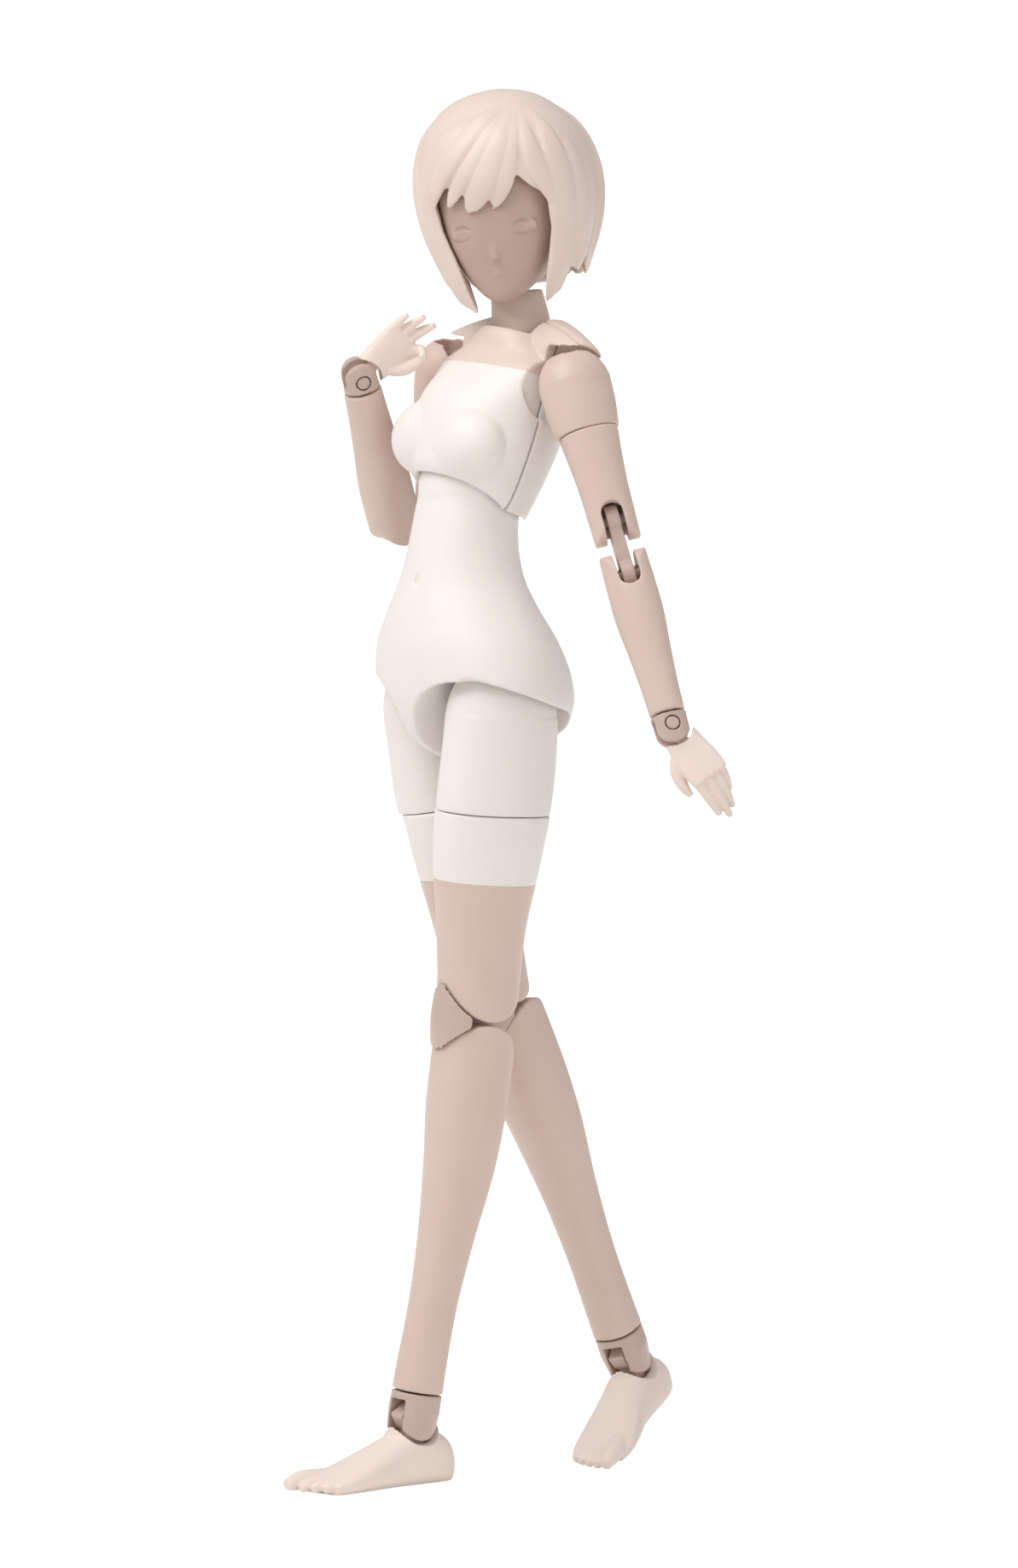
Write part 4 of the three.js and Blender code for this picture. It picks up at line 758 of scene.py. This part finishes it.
# %% Trunk sizes
WAIST_Z = (pivot("waist_bend") - hips).length
HIP_SPREAD = (pivot("left_hip_swing") - hips).length
PELVIS_SECTIONS = [
    section(-5.8, 1.5, 2.0, 2.8, y=0.4),
    section(-4.8, 4.6, 4.8, 6.4, y=0.4),
    section(-2.8, 10.0, 7.2, 9.8),
    section(0.4, 12.8, 8.6, 10.8),
    section(4, 13.1, 9.2, 10.4),
    section(8, 11.8, 9.4, 8.8),
    section(12, 9.3, 8.6, 6.6),
    section(15, 7.6, 7.7, 5.4),
    section(18, 6.7, 7.0, 4.9),
    section(21, 6.4, 6.3, 4.9),
    section(24.4, 6.35, 5.4, 5.3),
]
WAIST = {"dome_w": 6.4, "dome_r": 5.6, "slot": 2.4, "tongue_r": 2.6, "pin_r": 0.9, "pin_length": 7.0}
NAVEL_PIXEL = (487, 680)
NAVEL_RADII = (0.45, 0.6, 0.95)
# the fan that a thigh sweeps through the pelvis, and the leans at which it is cut
THIGH_ROOM = {"reach": 26, "flexion": 62, "extension": 26, "beside": 0.45, "rounding": 5.2}
THIGH_LEANS = (12, 8, 4, 0, -4, -8, -12.5)
# the pelvis ends at this height and slope outside the hip and, from a rounded corner on, before it
HIP_EDGE = {"z": 2.4, "slope": -19, "outside": 8.5, "front": 1.8, "corner": 2.4}
CHEST_SECTIONS = [
    section(-1.8, 7.6, 2.6, 4.4, y=1.5),
    section(0.3, 8.2, 6.6, 6.2, y=0.4),
    section(3, 8.7, 7.4, 7.2),
    section(6, 9.0, 7.7, 7.7),
    section(9, 9.1, 7.3, 8.0),
    section(12, 9.7, 6.0, 7.6, y=0.4),
    section(14.2, 10.2, 5.0, 6.6, y=0.8),
    section(16, 8.2, 4.7, 6.4, y=1.4),
    section(17.2, 6.2, 5.5, 6.2, y=2.0),
    section(18.4, 5.2, 5.6, 5.7, y=2.3),
]
CHEST_SPLIT = 0.6
CHEST_SEAM = 0.1
BUST_RADII = (4.9, 3.9, 4.4)
BUST_PLACE = (4.2, -4.4, 4.5)
SHOULDER_OPENING = {"r": 4.55, "x": 8.5}
NECK_BALL_R = 2.9
CHEST_TONE_LINE = 13.7  # above here the photograph shows the chest in a warmer cream
# the line of the shoulders on one side, from the neck out to the cap, with its radii
YOKE = [(0, 2.8, 18.4), (4.6, 2.6, 17.9), (8.8, 2.1, 16.9), (12.6, 1.8, 16.1)]
YOKE_RADII = [3.3, 3.15, 2.95, 2.4]


# %% Trunk shells
def thigh_room(lean, side):
    """The room that a thigh needs as it swings: a wide fan in the side view with rounded sides."""
    flexion, extension = THIGH_ROOM["flexion"], THIGH_ROOM["extension"]

    def along(angle, start):
        t = math.radians(angle)
        return start[0] + THIGH_ROOM["reach"] * math.cos(t), start[1] + THIGH_ROOM["reach"] * math.sin(t)

    top = arc(0, 0, DOME["r"] + GAP, extension, 180 - flexion, steps=16)
    outline = [along(270 + extension, top[0]), *top, along(270 - flexion, top[-1])]
    fan = slab(outline, 2 * (DOME["w"] + THIGH_ROOM["beside"]))
    bm = bmesh.new()
    bm.from_mesh(fan.data)
    sides = [f for f in bm.faces if abs(f.normal.x) > 0.9]
    rims = list({edge for face in sides for edge in face.edges})
    bmesh.ops.bevel(
        bm, geom=rims, offset=THIGH_ROOM["rounding"], offset_type="OFFSET", affect="EDGES",
        segments=6, profile=0.5, material=-1,
    )
    swung = at(side * HIP_SPREAD, turn=across("Y", lean * side)) @ at(side * DOME["x"])
    bmesh.ops.transform(bm, verts=bm.verts, matrix=swung)
    bm.to_mesh(fan.data)
    bm.free()
    return fan


def surface(piece):
    """A tree of the piece's faces, which finds where a ray meets them."""
    bm = bmesh.new()
    bm.from_mesh(piece.data)
    tree = BVHTree.FromBMesh(bm)
    bm.free()
    return tree


def touch(piece, where, pixel):
    """The point of a piece that shows at a pixel of the photograph, on the piece's own stand."""
    eye, direction = sight(*pixel)
    inverse = stands[where].inverted()
    return surface(piece).ray_cast(inverse @ eye, inverse.to_3x3() @ direction)[0]


def pelvis():
    body = loft(PELVIS_SECTIONS, steps=60, sides=64)
    body = join(body, egg(WAIST["dome_w"], WAIST["dome_r"], WAIST["dome_r"], z=WAIST_Z))
    slope = across("X", HIP_EDGE["slope"])
    corner = HIP_EDGE["corner"]
    hollows = []
    for side in (1, -1):
        hollows += [thigh_room(lean, side) for lean in THIGH_LEANS]
        outside = at(side * (HIP_SPREAD + HIP_EDGE["outside"]), z=HIP_EDGE["z"]) @ slope
        hollows.append(block(8, BIG, 24, z=-12, turn=outside))
        front = at(side * (HIP_SPREAD + HIP_EDGE["front"]), z=HIP_EDGE["z"]) @ slope
        hollows.append(rod("Y", corner, 14, side * corner, -7, -corner, turn=front))
        hollows.append(block(10, 14, 24, side * (corner + 5), -7, -12, turn=front))
    hollows.append(rod("X", 1.15, 4))
    width = WAIST["slot"] + 2 * GAP
    hollows.append(rod("X", WAIST["tongue_r"] + SEAT, width, z=WAIST_Z))
    hollows.append(block(width, 2 * (WAIST["tongue_r"] + SEAT) + 3.4, 8, z=WAIST_Z + 4))
    hollows.append(rod("X", WAIST["pin_r"] + SEAT, WAIST["pin_length"] + 2 * GAP, z=WAIST_Z))
    body = cut(body, *hollows)
    navel = touch(body, "pelvis", NAVEL_PIXEL)
    return mould(cut(body, egg(*NAVEL_RADII, *navel, sides=24)), soften=5)


def chest():
    body = join(
        loft(CHEST_SECTIONS, steps=50, sides=64),
        egg(*BUST_RADII, *BUST_PLACE),
        egg(*BUST_RADII, -BUST_PLACE[0], *BUST_PLACE[1:]),
        taper(YOKE, YOKE_RADII, sides=40),
        taper([(-x, y, z) for x, y, z in YOKE], YOKE_RADII, sides=40),
    )
    room = 1.4 * GAP
    hollows = [
        loft([section(-5, 7.2, 6.5, 6.8), section(0.3, WAIST["dome_w"] + room, 6.2, 6.0)], steps=1),
        egg(WAIST["dome_w"] + room, WAIST["dome_r"] + room, WAIST["dome_r"] + room),
        rod("Z", WAIST["tongue_r"] + 2.2, 3.2, z=4.9),
        rod("Z", 2.9, 3, z=7),
        rod("Z", 3.7, 2.4, z=9),
    ]
    inverse = stands["chest"].inverted()
    shoulder = inverse @ pivot("left_shoulder_swing")
    neck_at = inverse @ pivot("neck_tilt")
    for side in (1, -1):
        y, z = shoulder.y, shoulder.z
        hollows.append(rod("X", SHOULDER_OPENING["r"], 12, side * (SHOULDER_OPENING["x"] + 6), y, z))
        hollows.append(rod("X", HUB_R + SEAT, 4.2, side * 6.6, y, z))
        hollows.append(rod("X", HUB_R + 0.7 + SEAT, 1.5, side * 5.3, y, z))
    hollows.append(egg(3.2, 3.2, 3.2, *neck_at))
    hollows.append(loft([
        section(neck_at.z + 1, 4.3, 4.4, 4.2, y=neck_at.y),
        section(neck_at.z + 4, 4.7, 5.6, 4.7, y=neck_at.y),
        section(neck_at.z + 8.5, 5.1, 7.0, 5.3, y=neck_at.y),
    ], steps=6))
    skirt_room = cut(egg(5.0, 5.0, 5.0, *neck_at), below(neck_at.z))
    return cut(body, *hollows, skirt_room)


def neck():
    column = loft([
        section(1.6, 2.95, 2.9, 2.95),
        section(3.2, 3.5, 3.25, 3.5),
        section(4.4, 3.3, 3.0, 3.7),
        section(6.0, 2.95, 2.75, 3.6),
        section(8.2, 2.7, 2.6, 3.2),
    ], steps=16)
    ball = NECK_BALL_R + GAP
    column = cut(column, egg(ball, ball, ball))
    column = join(column, rod("X", 1.2, 3.2), block(3.2, 2.4, 3.6, z=1.8), rod("Z", 1.2, 3, z=8.9))
    return mould(column, grain=LIMB_GRAIN)


deliver(pelvis(), "pelvis_shell", "pelvis", ["pelvis"], torso_abs)
for node, rest in (("chest_front", behind), ("chest_back", before)):
    half = mould(cut(chest(), rest(CHEST_SPLIT, CHEST_SEAM)), soften=4)
    half = two_tone(half, CHEST_TONE_LINE)
    deliver(half, node + "_shell", "chest", [node], (torso_abs, upper_abs))
deliver(neck(), "neck_column", "neck", ["neck"], limb_abs)

# %% [markdown]
# The head. The face is a rounded skull with a narrow jaw, blank apart from a nose, faint lips and
# the outlines of the eyes, which are thin grooves. Their places come from the photograph: a line
# of sight through each pixel finds its point on the head.

# %% Head sizes
SKULL = {"rx": 8.0, "ry": 9.0, "rz": 9.6, "y": 0.3, "z": 9.6}
JAW_SECTIONS = [
    section(-3.7, 0.9, 1.1, 2.2, y=-4.2),
    section(-2.9, 2.2, 2.2, 4.0, y=-3.8),
    section(-1.0, 3.9, 4.1, 5.4, y=-2.7),
    section(0.8, 5.1, 5.8, 6.2, y=-1.7),
    section(3.4, 6.4, 7.6, 7.0, y=-0.8),
    section(8.0, 7.6, 8.9, 8.2),
    section(11.0, 7.9, 8.9, 9.0, y=0.2),
]
HEAD_SPLIT = 1.4
HEAD_SEAM = 0.15
HEAD_CENTRE = Vector((0, 0.8, 8))
NOSE = [(0.2, -7.7, 4.4), (0.25, -7.75, 2.2), (0.3, -7.85, 0.75)]
NOSE_RADII = [0.3, 0.55, 0.45]
# soft swellings under the lines of mouth and eyes, as three radii and a place
LIPS = [(1.1, 0.6, 0.3, 0.3, -6.75, -0.1), (0.9, 0.6, 0.3, 0.3, -6.6, -0.75)]
EYELIDS = [(1.5, 0.5, 0.9, 3.9, -6.95, 4.3), (1.5, 0.5, 0.9, -3.4, -6.95, 4.3)]
# each eye in pixels: centre x, centre y, half width, half height; both are tilted by the head's lean
EYES = [(541, 277, 15, 9), (613, 267, 17, 9)]
EYE_TILT = math.radians(9)
MOUTH = [(577, 322), (583, 323), (588, 322.5), (593, 321), (598, 319)]


# %% Face
def head_form(room=0.0):
    sections = [{**s, "w": s["w"] + room, "f": s["f"] + room, "b": s["b"] + room} for s in JAW_SECTIONS]
    skull = egg(
        SKULL["rx"] + room, SKULL["ry"] + room, SKULL["rz"] + room, y=SKULL["y"], z=SKULL["z"], sides=64,
    )
    return join(loft(sections, steps=36, sides=64), skull)


def neck_room():
    cone = loft([section(-6, 5.6, 5.6), section(-2.6, 4.1, 4.1), section(0.3, 2.9, 2.9)], steps=8)
    return [egg(2.8, 2.8, 2.8), cone]


def outward(point):
    return (point - HEAD_CENTRE).normalized()


def line_on(piece, pixels, radii, flat=1.0):
    """A thin line over the surface of a piece on the head, through pixels of the photograph."""
    points = [touch(piece, "head", pixel) for pixel in pixels]
    points = [p for p in points if p]
    return taper(points, radii, flat=flat, over=outward, steps=28)


def eye_lines(piece, eye):
    x, y, half_width, half_height = eye
    lines = []
    for lid, reach in ((-1, 1.0), (1, 0.8)):
        path = []
        for i in range(9):
            along = -1 + i / 4
            rise = lid * reach * half_height * (1 - along * along)
            sideways = half_width * along
            path.append((
                x + sideways * math.cos(EYE_TILT) + rise * math.sin(EYE_TILT),
                y - sideways * math.sin(EYE_TILT) + rise * math.cos(EYE_TILT),
            ))
        thick = 0.24 if lid < 0 else 0.18
        lines.append(line_on(piece, path, [0.05, thick, thick, 0.05]))
    return lines


def face():
    nose = taper(NOSE, NOSE_RADII, over=Vector((1, 0, 0)))
    lips = [egg(*sizes, sides=24) for sizes in LIPS]
    eyelids = [egg(*sizes, sides=32) for sizes in EYELIDS]
    form = mould(join(head_form(), nose, *lips, *eyelids), grain=0.18, soften=9)
    lines = [line for eye in EYES for line in eye_lines(form, eye)]
    lines.append(line_on(form, MOUTH, [0.04, 0.12, 0.04]))
    form = cut(form, *lines, behind(HEAD_SPLIT, HEAD_SEAM), *neck_room())
    return mould(form, grain=0.13, soften=1)


def head_back():
    return mould(cut(head_form(), before(HEAD_SPLIT, HEAD_SEAM), *neck_room()))


# face and back of the head both take the beige with the fringe's shade painted into it
deliver(face(), "face_shell", "head", ["face"], face_painted_shade_pvc)
deliver(head_back(), "head_back_shell", "head", ["head_back"], face_painted_shade_pvc)

# %% [markdown]
# The hair is one smooth cap, parted above the forehead. Locks lie on it as low ridges that end in
# the tips of the fringe, with fine grooves between the strands. The locks that the photograph
# shows follow its pixels, and those on the far side and the back fan out from the crown.

# %% Hair sizes
HAIR_SECTIONS = [
    section(-6.2, 4.3, 6.3, 6.0, y=1.2),
    section(-2, 7.2, 7.5, 8.2, x=0.1, y=1.2),
    section(2, 8.8, 8.6, 9.5, x=0.2, y=1.1),
    section(6.5, 9.9, 10.2, 10.4, x=0.4, y=1.0),
    section(11, 10.1, 11.2, 10.5, x=0.4, y=0.9),
    section(15, 9.2, 10.3, 9.6, x=0.3, y=0.8),
    section(18.2, 7.0, 7.8, 7.3, y=0.8),
    section(20.2, 4.2, 4.7, 4.5, y=0.8),
    section(20.95, 1.2, 1.4, 1.3, y=0.8),
]
HAIR_SEAM = 0.1
HAIR_GRAIN = 0.17
# the opening for the face, as (x, z) points, with the tips of the fringe along its top
FACE_OPENING = [
    (-3.0, -14), (-3.2, -5.2), (-4.8, 1.5), (-5.9, 5), (-6.3, 8.2), (-5.6, 9.4), (-3.6, 9.6), (0.6, 9.6),
    (2.4, 9.4), (3.6, 10.4), (5.4, 8.5), (6.7, 7.6), (6.65, 3.9), (5.8, 0.85), (4.6, -3.5), (4.2, -4.9),
    (4.2, -14),
]
# the lower edge in the side view, as (y, z) points
HAIR_HEM = [
    (-14, -6.5), (-7, -6.5), (-5.4, -5.2), (-3.8, -4.4), (-1, -1.8), (0.5, 1.9), (1.6, 0.2), (2.5, -1.4),
    (3.6, -0.4), (4.5, -0.8), (5.6, 0.8), (6.8, -0.4), (8, 0.9), (9.4, -0.6), (10.6, 0.8), (14, 0.5),
    (14, -14), (-14, -14),
]
# the locks in pixels, from the parting to the tip, with their half widths in mm
FRINGE = [
    ([(594, 120), (562, 146), (530, 184), (512, 218), (508, 244)], [0.3, 1.3, 1.6, 1.3, 0.35]),
    ([(604, 122), (600, 160), (592, 204), (584, 228), (577, 246)], [0.3, 0.9, 1.2, 1.0, 0.3]),
    ([(597, 122), (573, 156), (547, 198), (532, 228), (525, 243)], [0.3, 1.0, 1.2, 0.9, 0.3]),
    ([(601, 122), (586, 160), (568, 206), (556, 234), (548, 252)], [0.3, 1.2, 1.7, 1.4, 0.3]),
    ([(608, 122), (616, 158), (630, 194), (648, 224), (664, 252)], [0.3, 0.9, 1.3, 1.3, 0.7]),
]
SIDE_LOCKS = [
    ([(616, 122), (642, 160), (658, 215), (658, 290), (645, 335), (637, 364)],
     [0.3, 1.2, 1.8, 1.8, 1.2, 0.3]),
    ([(630, 124), (670, 180), (684, 240), (682, 290), (674, 325)], [0.3, 1.2, 1.5, 1.3, 0.3]),
    ([(588, 122), (530, 158), (499, 210), (508, 270), (540, 330), (562, 371)],
     [0.3, 1.3, 1.7, 1.4, 1.0, 0.3]),
]
GROOVES = [
    [(622, 122), (652, 160), (671, 215), (672, 262), (668, 300)],
    [(638, 132), (676, 180), (695, 225), (695, 262), (688, 290)],
    [(612, 126), (632, 165), (645, 205), (652, 240), (655, 262)],
    [(590, 128), (548, 168), (520, 214), (513, 240)],
    [(600, 128), (576, 172), (556, 216), (541, 240)],
    [(605, 128), (592, 176), (578, 222), (570, 240)],
    [(582, 126), (520, 162), (492, 205), (494, 250), (512, 300)],
]
LOCK_RISE = 0.3  # how far the cap lies inside the outline that the locks reach


# %% Hair
def around(piece, degrees, z):
    """The outermost point of a piece on the head at one height and one bearing."""
    t = math.radians(degrees)
    toward = Vector((math.cos(t), math.sin(t), 0))
    return surface(piece).ray_cast(Vector((0, HEAD_CENTRE.y, z)) + toward * 30, -toward)[0]


def strand(cap, bearing, lean, heights):
    """Five points down the cap, at a bearing that leans over on the way."""
    return [around(cap, bearing + lean * i / 4, z) for i, z in enumerate(heights)]


def back_strands(cap):
    """Locks and grooves that fan out from the crown over the back and the far side."""
    locks, grooves = [], []
    for k, bearing in enumerate(range(20, 215, 22)):
        drop = (-0.4, 0.6, -0.9)[k % 3]
        lean = 7 * math.sin(k * 1.7)
        path = strand(cap, bearing, lean, (19.4, 16, 11, 5.5, drop))
        locks.append(taper(path, [0.3, 1.3, 1.8, 1.6, 0.5], flat=0.3, over=outward, steps=24))
        beside = strand(cap, bearing + 11, lean, (18.8, 15.5, 10.5, 5, 0.5))
        grooves.append(taper(beside, [0.05, 0.15, 0.2, 0.15, 0.08], over=outward, steps=24, sides=10))
    return locks, grooves


def hair():
    sections = [{**s, "f": s["f"] - LOCK_RISE, "b": s["b"] - LOCK_RISE} for s in HAIR_SECTIONS]
    cap = loft(sections, steps=60, sides=80)
    fringe = [line_on(cap, path, radii, flat=0.42) for path, radii in FRINGE]
    sides = [line_on(cap, path, radii, flat=0.34) for path, radii in SIDE_LOCKS]
    grooves = [line_on(cap, path, [0.04, 0.15, 0.18, 0.12, 0.04]) for path in GROOVES]
    more_locks, more_grooves = back_strands(cap)
    cap = mould(join(cap, *sides, *more_locks), grain=0.18, soften=4)
    opening = slab(FACE_OPENING, 16)
    opening.data.transform(at(y=-10, turn=across("Z", -90)))
    ears = cut(rod("Z", 8.0, 12, y=1.0, z=1), block(BIG, BIG, 12, y=-2.2 - BIG / 2, z=-5))
    sweep = loft([section(-9, 6.4, 3.6, 5.4), section(3, 6.4, 3.6, 5.4)], steps=1)
    cap = cut(cap, opening, slab(HAIR_HEM, 30))
    return cut(join(cap, *fringe), *grooves, *more_grooves, head_form(GAP), ears, sweep)


for node, rest in (("hair_front", behind), ("hair_back", before)):
    half = mould(cut(hair(), rest(HEAD_SPLIT, HAIR_SEAM)), grain=HAIR_GRAIN)
    deliver(half, node + "_shell", "head", [node], hair_pvc)

# %% [markdown]
# Hands and feet. A finger is a taper along its own curl, and a toe lies along the floor. Both are
# joined to a palm or a sole that is a stack of sections, and the mould's rounding blends them.

# %% Hand and foot sizes
PALM_SECTIONS = [
    section(-7.4, 0.75, 2.35, 2.2, n=2.8),
    section(-5.5, 0.95, 2.5, 2.3, n=2.6),
    section(-3.2, 1.15, 2.2, 2.1, n=2.3),
    section(-1.32, 1.6, 1.95, n=2.0),
]
# the fingers: y at the root, z at the root, radius, length, curl and how far they fan out
RELAXED = [
    (-1.7, -6.4, 0.62, 5.8, 0.22, 0.02),
    (-0.55, -6.7, 0.64, 6.5, 0.26, 0.0),
    (0.6, -6.6, 0.62, 6.1, 0.32, -0.02),
    (1.65, -6.1, 0.56, 4.9, 0.36, -0.05),
]
RAISED = [
    (-1.75, -6.4, 0.62, 4.3, 0.75, -0.06),
    (-0.6, -6.7, 0.64, 4.9, 0.25, -0.03),
    (0.55, -6.6, 0.62, 4.7, 0.2, 0.04),
    (1.65, -6.1, 0.55, 3.8, 0.16, 0.12),
]
THUMB = [(-0.1, -1.2, -3.0), (-0.9, -2.5, -4.4), (-1.3, -2.9, -6.2), (-1.4, -2.9, -7.6)]
WRIST_PLAY = 0.13  # more room round the wrist block, which the hand passes closely at its limits
ANKLE_HEIGHT = 8.3
ROCKER_Z = -4.4
ANKLE_PIN_Z = 0.2
ANKLE_ROUND = 3.3
FOOT_TOP = -1.5
# the foot: y along it, half width, height above the floor, sideways shift
FOOT_SECTIONS = [
    (5.4, 1.3, 3.0, 0), (4.7, 2.2, 4.8, 0), (2.6, 2.8, 6.0, 0), (-1.0, 2.9, 6.3, 0), (-4.5, 3.0, 5.2, 0),
    (-8.5, 3.6, 3.6, -0.1), (-12, 3.8, 2.4, -0.2), (-13.6, 3.2, 1.8, -0.3),
]
# the toes: x, the tip's y, radius
TOES = [
    (-2.5, -16.55, 1.12), (-0.95, -15.8, 0.82), (0.35, -15.2, 0.76), (1.55, -14.5, 0.72),
    (2.65, -13.6, 0.68),
]


# %% Hands and feet
def finger(y, base, radius, length, curl, fan):
    path = []
    for i in range(4):
        t = i / 3
        bend = curl * math.pi * t
        path.append((
            -(length * (1 - math.cos(bend))) / (math.pi * curl),
            y + fan * length * t,
            base + 1 - (length * math.sin(bend)) / (math.pi * curl) - 0.4 * t,
        ))
    return taper(path, [radius, radius, radius * 0.9, radius * 0.55], steps=14, sides=14)


def hand(fingers):
    thumb = taper(THUMB, [0.8, 0.78, 0.64, 0.36], steps=14, sides=14)
    form = join(loft(PALM_SECTIONS, steps=16, sides=40), *[finger(*f) for f in fingers], thumb)
    form = cut(form, rod("X", WRIST_R + GAP + WRIST_PLAY, 8, z=WRIST_PIN_Z))
    tongue = join(rod("X", 0.8, 1.0, z=WRIST_PIN_Z), block(1.0, 1.1, 2.8, z=WRIST_PIN_Z - 1.4))
    form = cut(join(form, tongue), rod("X", 0.55, 4, z=WRIST_PIN_Z))
    form.data.transform(at(z=-WRIST_PIN_Z))
    return mould(form, grain=0.13, soften=2)


def foot():
    sections = [section(-y, w, h / 2, x=x, y=h / 2, n=2.4) for y, w, h, x in FOOT_SECTIONS]
    sole = loft(sections, steps=40, sides=40)
    # the stack lies down along the floor, 0.3 mm into it, which is then cut flat
    lay = Matrix(((1, 0, 0, 0), (0, 0, -1, 0), (0, 1.04, 0, -ANKLE_HEIGHT - 0.3), (0, 0, 0, 1)))
    sole.data.transform(lay)
    toes = []
    for x, tip, r in TOES:
        path = [
            (x * 0.9, -11, r + 0.4 - ANKLE_HEIGHT),
            (x, (tip - 12) / 2, r + 0.25 - ANKLE_HEIGHT),
            (x, tip, r - 0.1 - ANKLE_HEIGHT),
        ]
        toes.append(taper(path, [r * 0.9, r, r * 0.62], over=Vector((0, 0, 1)), steps=12, sides=16))
    column = loft([
        section(2 - ANKLE_HEIGHT, 2.7, 3.2, 3.4, y=0.3),
        section(4.8 - ANKLE_HEIGHT, 2.85, 3.2, 3.3, y=0.1),
        section(ANKLE_PIN_Z, 2.7, 2.9, 3.0),
    ], steps=10)
    hollows = [
        rod("X", ANKLE_ROUND + GAP, 12, z=ANKLE_PIN_Z - ROCKER_Z, turn=at(z=ROCKER_Z) @ across("Y", lean))
        for lean in (-12, 0, 12)
    ]
    form = cut(
        join(sole, column, *toes), below(-ANKLE_HEIGHT), above(FOOT_TOP), *hollows,
        rod("Y", 1.5, 2.8, z=ROCKER_Z), block(3.2, 3.2, 4, z=ROCKER_Z + 2),
    )
    form.data.transform(at(z=-ROCKER_Z))
    return mould(form, grain=0.15, soften=2)


for word, fingers in (("left", RELAXED), ("right", RAISED)):
    mirrored = word == "right"
    for part, form in (("hand", hand(fingers)), ("foot", foot())):
        node = word + "_" + part
        deliver(form, node + "_form", node, [node], soft_pvc, mirrored)

# %% [markdown]
# The pieces that the CAD model already shapes well are small or hidden: hubs, pins, links, forks
# and balls. They stay, with their edges rounded by the same remesh, and get the plastic of their slot.

# %% Joint pieces from the CAD
JOINT_GRAIN = 0.13
finishes = {
    "torso_plastic": torso_abs,
    "limb_plastic": limb_abs,
    "hand_plastic": soft_pvc,
    "hair_plastic": hair_pvc,
    "joint_plastic": joint_pom,
}
slots = {row["node"]: row["material_slot"] for row in frame["record"]["subparts"]}
for name, node in frame["nodes"].items():
    node.data.materials.clear()
    node.data.materials.append(finishes[slots[name]])
    if slots[name] != "joint_plastic":
        continue
    weld = node.modifiers.new("weld", "WELD")
    weld.merge_threshold = 0.001 * MM
    round_edges(node, JOINT_GRAIN * MM, 2)

# %% [markdown]
# The stage is a plain pale floor under soft studio light: a large softbox above, in front and to
# the left, a weaker one on the right, and a pale world. Both the world and the floor look white to
# the camera, and the floor in reflections too, so at most a trace of the figure's shadow shows.

# %% Stage
def white_room(name, brightness):
    """A pale surface that shows as white to the camera and in reflections."""
    material = bpy.data.materials.new(name)
    material.use_nodes = True
    tree = material.node_tree
    tree.nodes.clear()
    path = add_node(tree, "LightPath")
    seen = path.outputs["Is Camera Ray"]
    for kind in ("Glossy", "Transmission"):
        ray = path.outputs["Is " + kind + " Ray"]
        seen = add_node(tree, "Math", {"operation": "MAXIMUM"}, i0=seen, i1=ray).outputs[0]
    paint = add_node(tree, "BsdfDiffuse", Color=linear("f4f2f0"))
    lamp = add_node(tree, "Emission", Color=(1, 1, 1, 1), Strength=brightness)
    none = add_node(tree, "Emission", Color=(0, 0, 0, 1), Strength=0.0)
    glow = add_node(tree, "MixShader", i0=seen, i1=none.outputs[0], i2=lamp.outputs[0])
    both = add_node(tree, "AddShader", i0=paint.outputs[0], i1=glow.outputs[0])
    output = add_node(tree, "OutputMaterial")
    tree.links.new(both.outputs[0], output.inputs["Surface"])
    return material


bm = bmesh.new()
bmesh.ops.create_grid(bm, x_segments=1, y_segments=1, size=6)
floor_mesh = bpy.data.meshes.new("floor")
bm.to_mesh(floor_mesh)
bm.free()
floor = bpy.data.objects.new("floor", floor_mesh)
floor.location.z = -0.05 * MM
bpy.context.scene.collection.objects.link(floor)
floor_mesh.materials.append(white_room("pale_paper", 0.8))

world = bpy.data.worlds.new("studio")
bpy.context.scene.world = world
world.use_nodes = True
sky = world.node_tree
sky.nodes.clear()
path = add_node(sky, "LightPath")
white = add_node(sky, "Background", Color=(1, 1, 1, 1), Strength=1.0)
soft = add_node(sky, "Background", Color=(1.0, 0.99, 0.98, 1), Strength=0.46)
mix = add_node(sky, "MixShader", i0=path.outputs["Is Camera Ray"], i1=soft.outputs[0], i2=white.outputs[0])
output = add_node(sky, "OutputWorld")
sky.links.new(mix.outputs[0], output.inputs["Surface"])


def softbox(name, toward, distance, size, power, color):
    """A square softbox that faces the figure from a direction given in the camera's own terms."""
    data = bpy.data.lights.new(name, "AREA")
    data.shape = "SQUARE"
    data.size = size
    data.energy = power
    data.color = color
    lamp = bpy.data.objects.new(name, data)
    bpy.context.scene.collection.objects.link(lamp)
    direction = (right * toward[0] + up * toward[1] + back * toward[2]).normalized()
    lamp.location = middle * MM + direction * distance
    lamp.rotation_euler = direction.to_track_quat("Z", "Y").to_euler()
    return lamp


softbox("key", (-0.6, 1.0, 0.5), distance=0.8, size=0.6, power=4.3, color=(1.0, 0.985, 0.965))
softbox("fill", (0.9, 0.0, 0.7), distance=1.0, size=0.9, power=2.5, color=(1.0, 0.98, 0.96))

scene = bpy.context.scene
scene.view_settings.view_transform = "Standard"
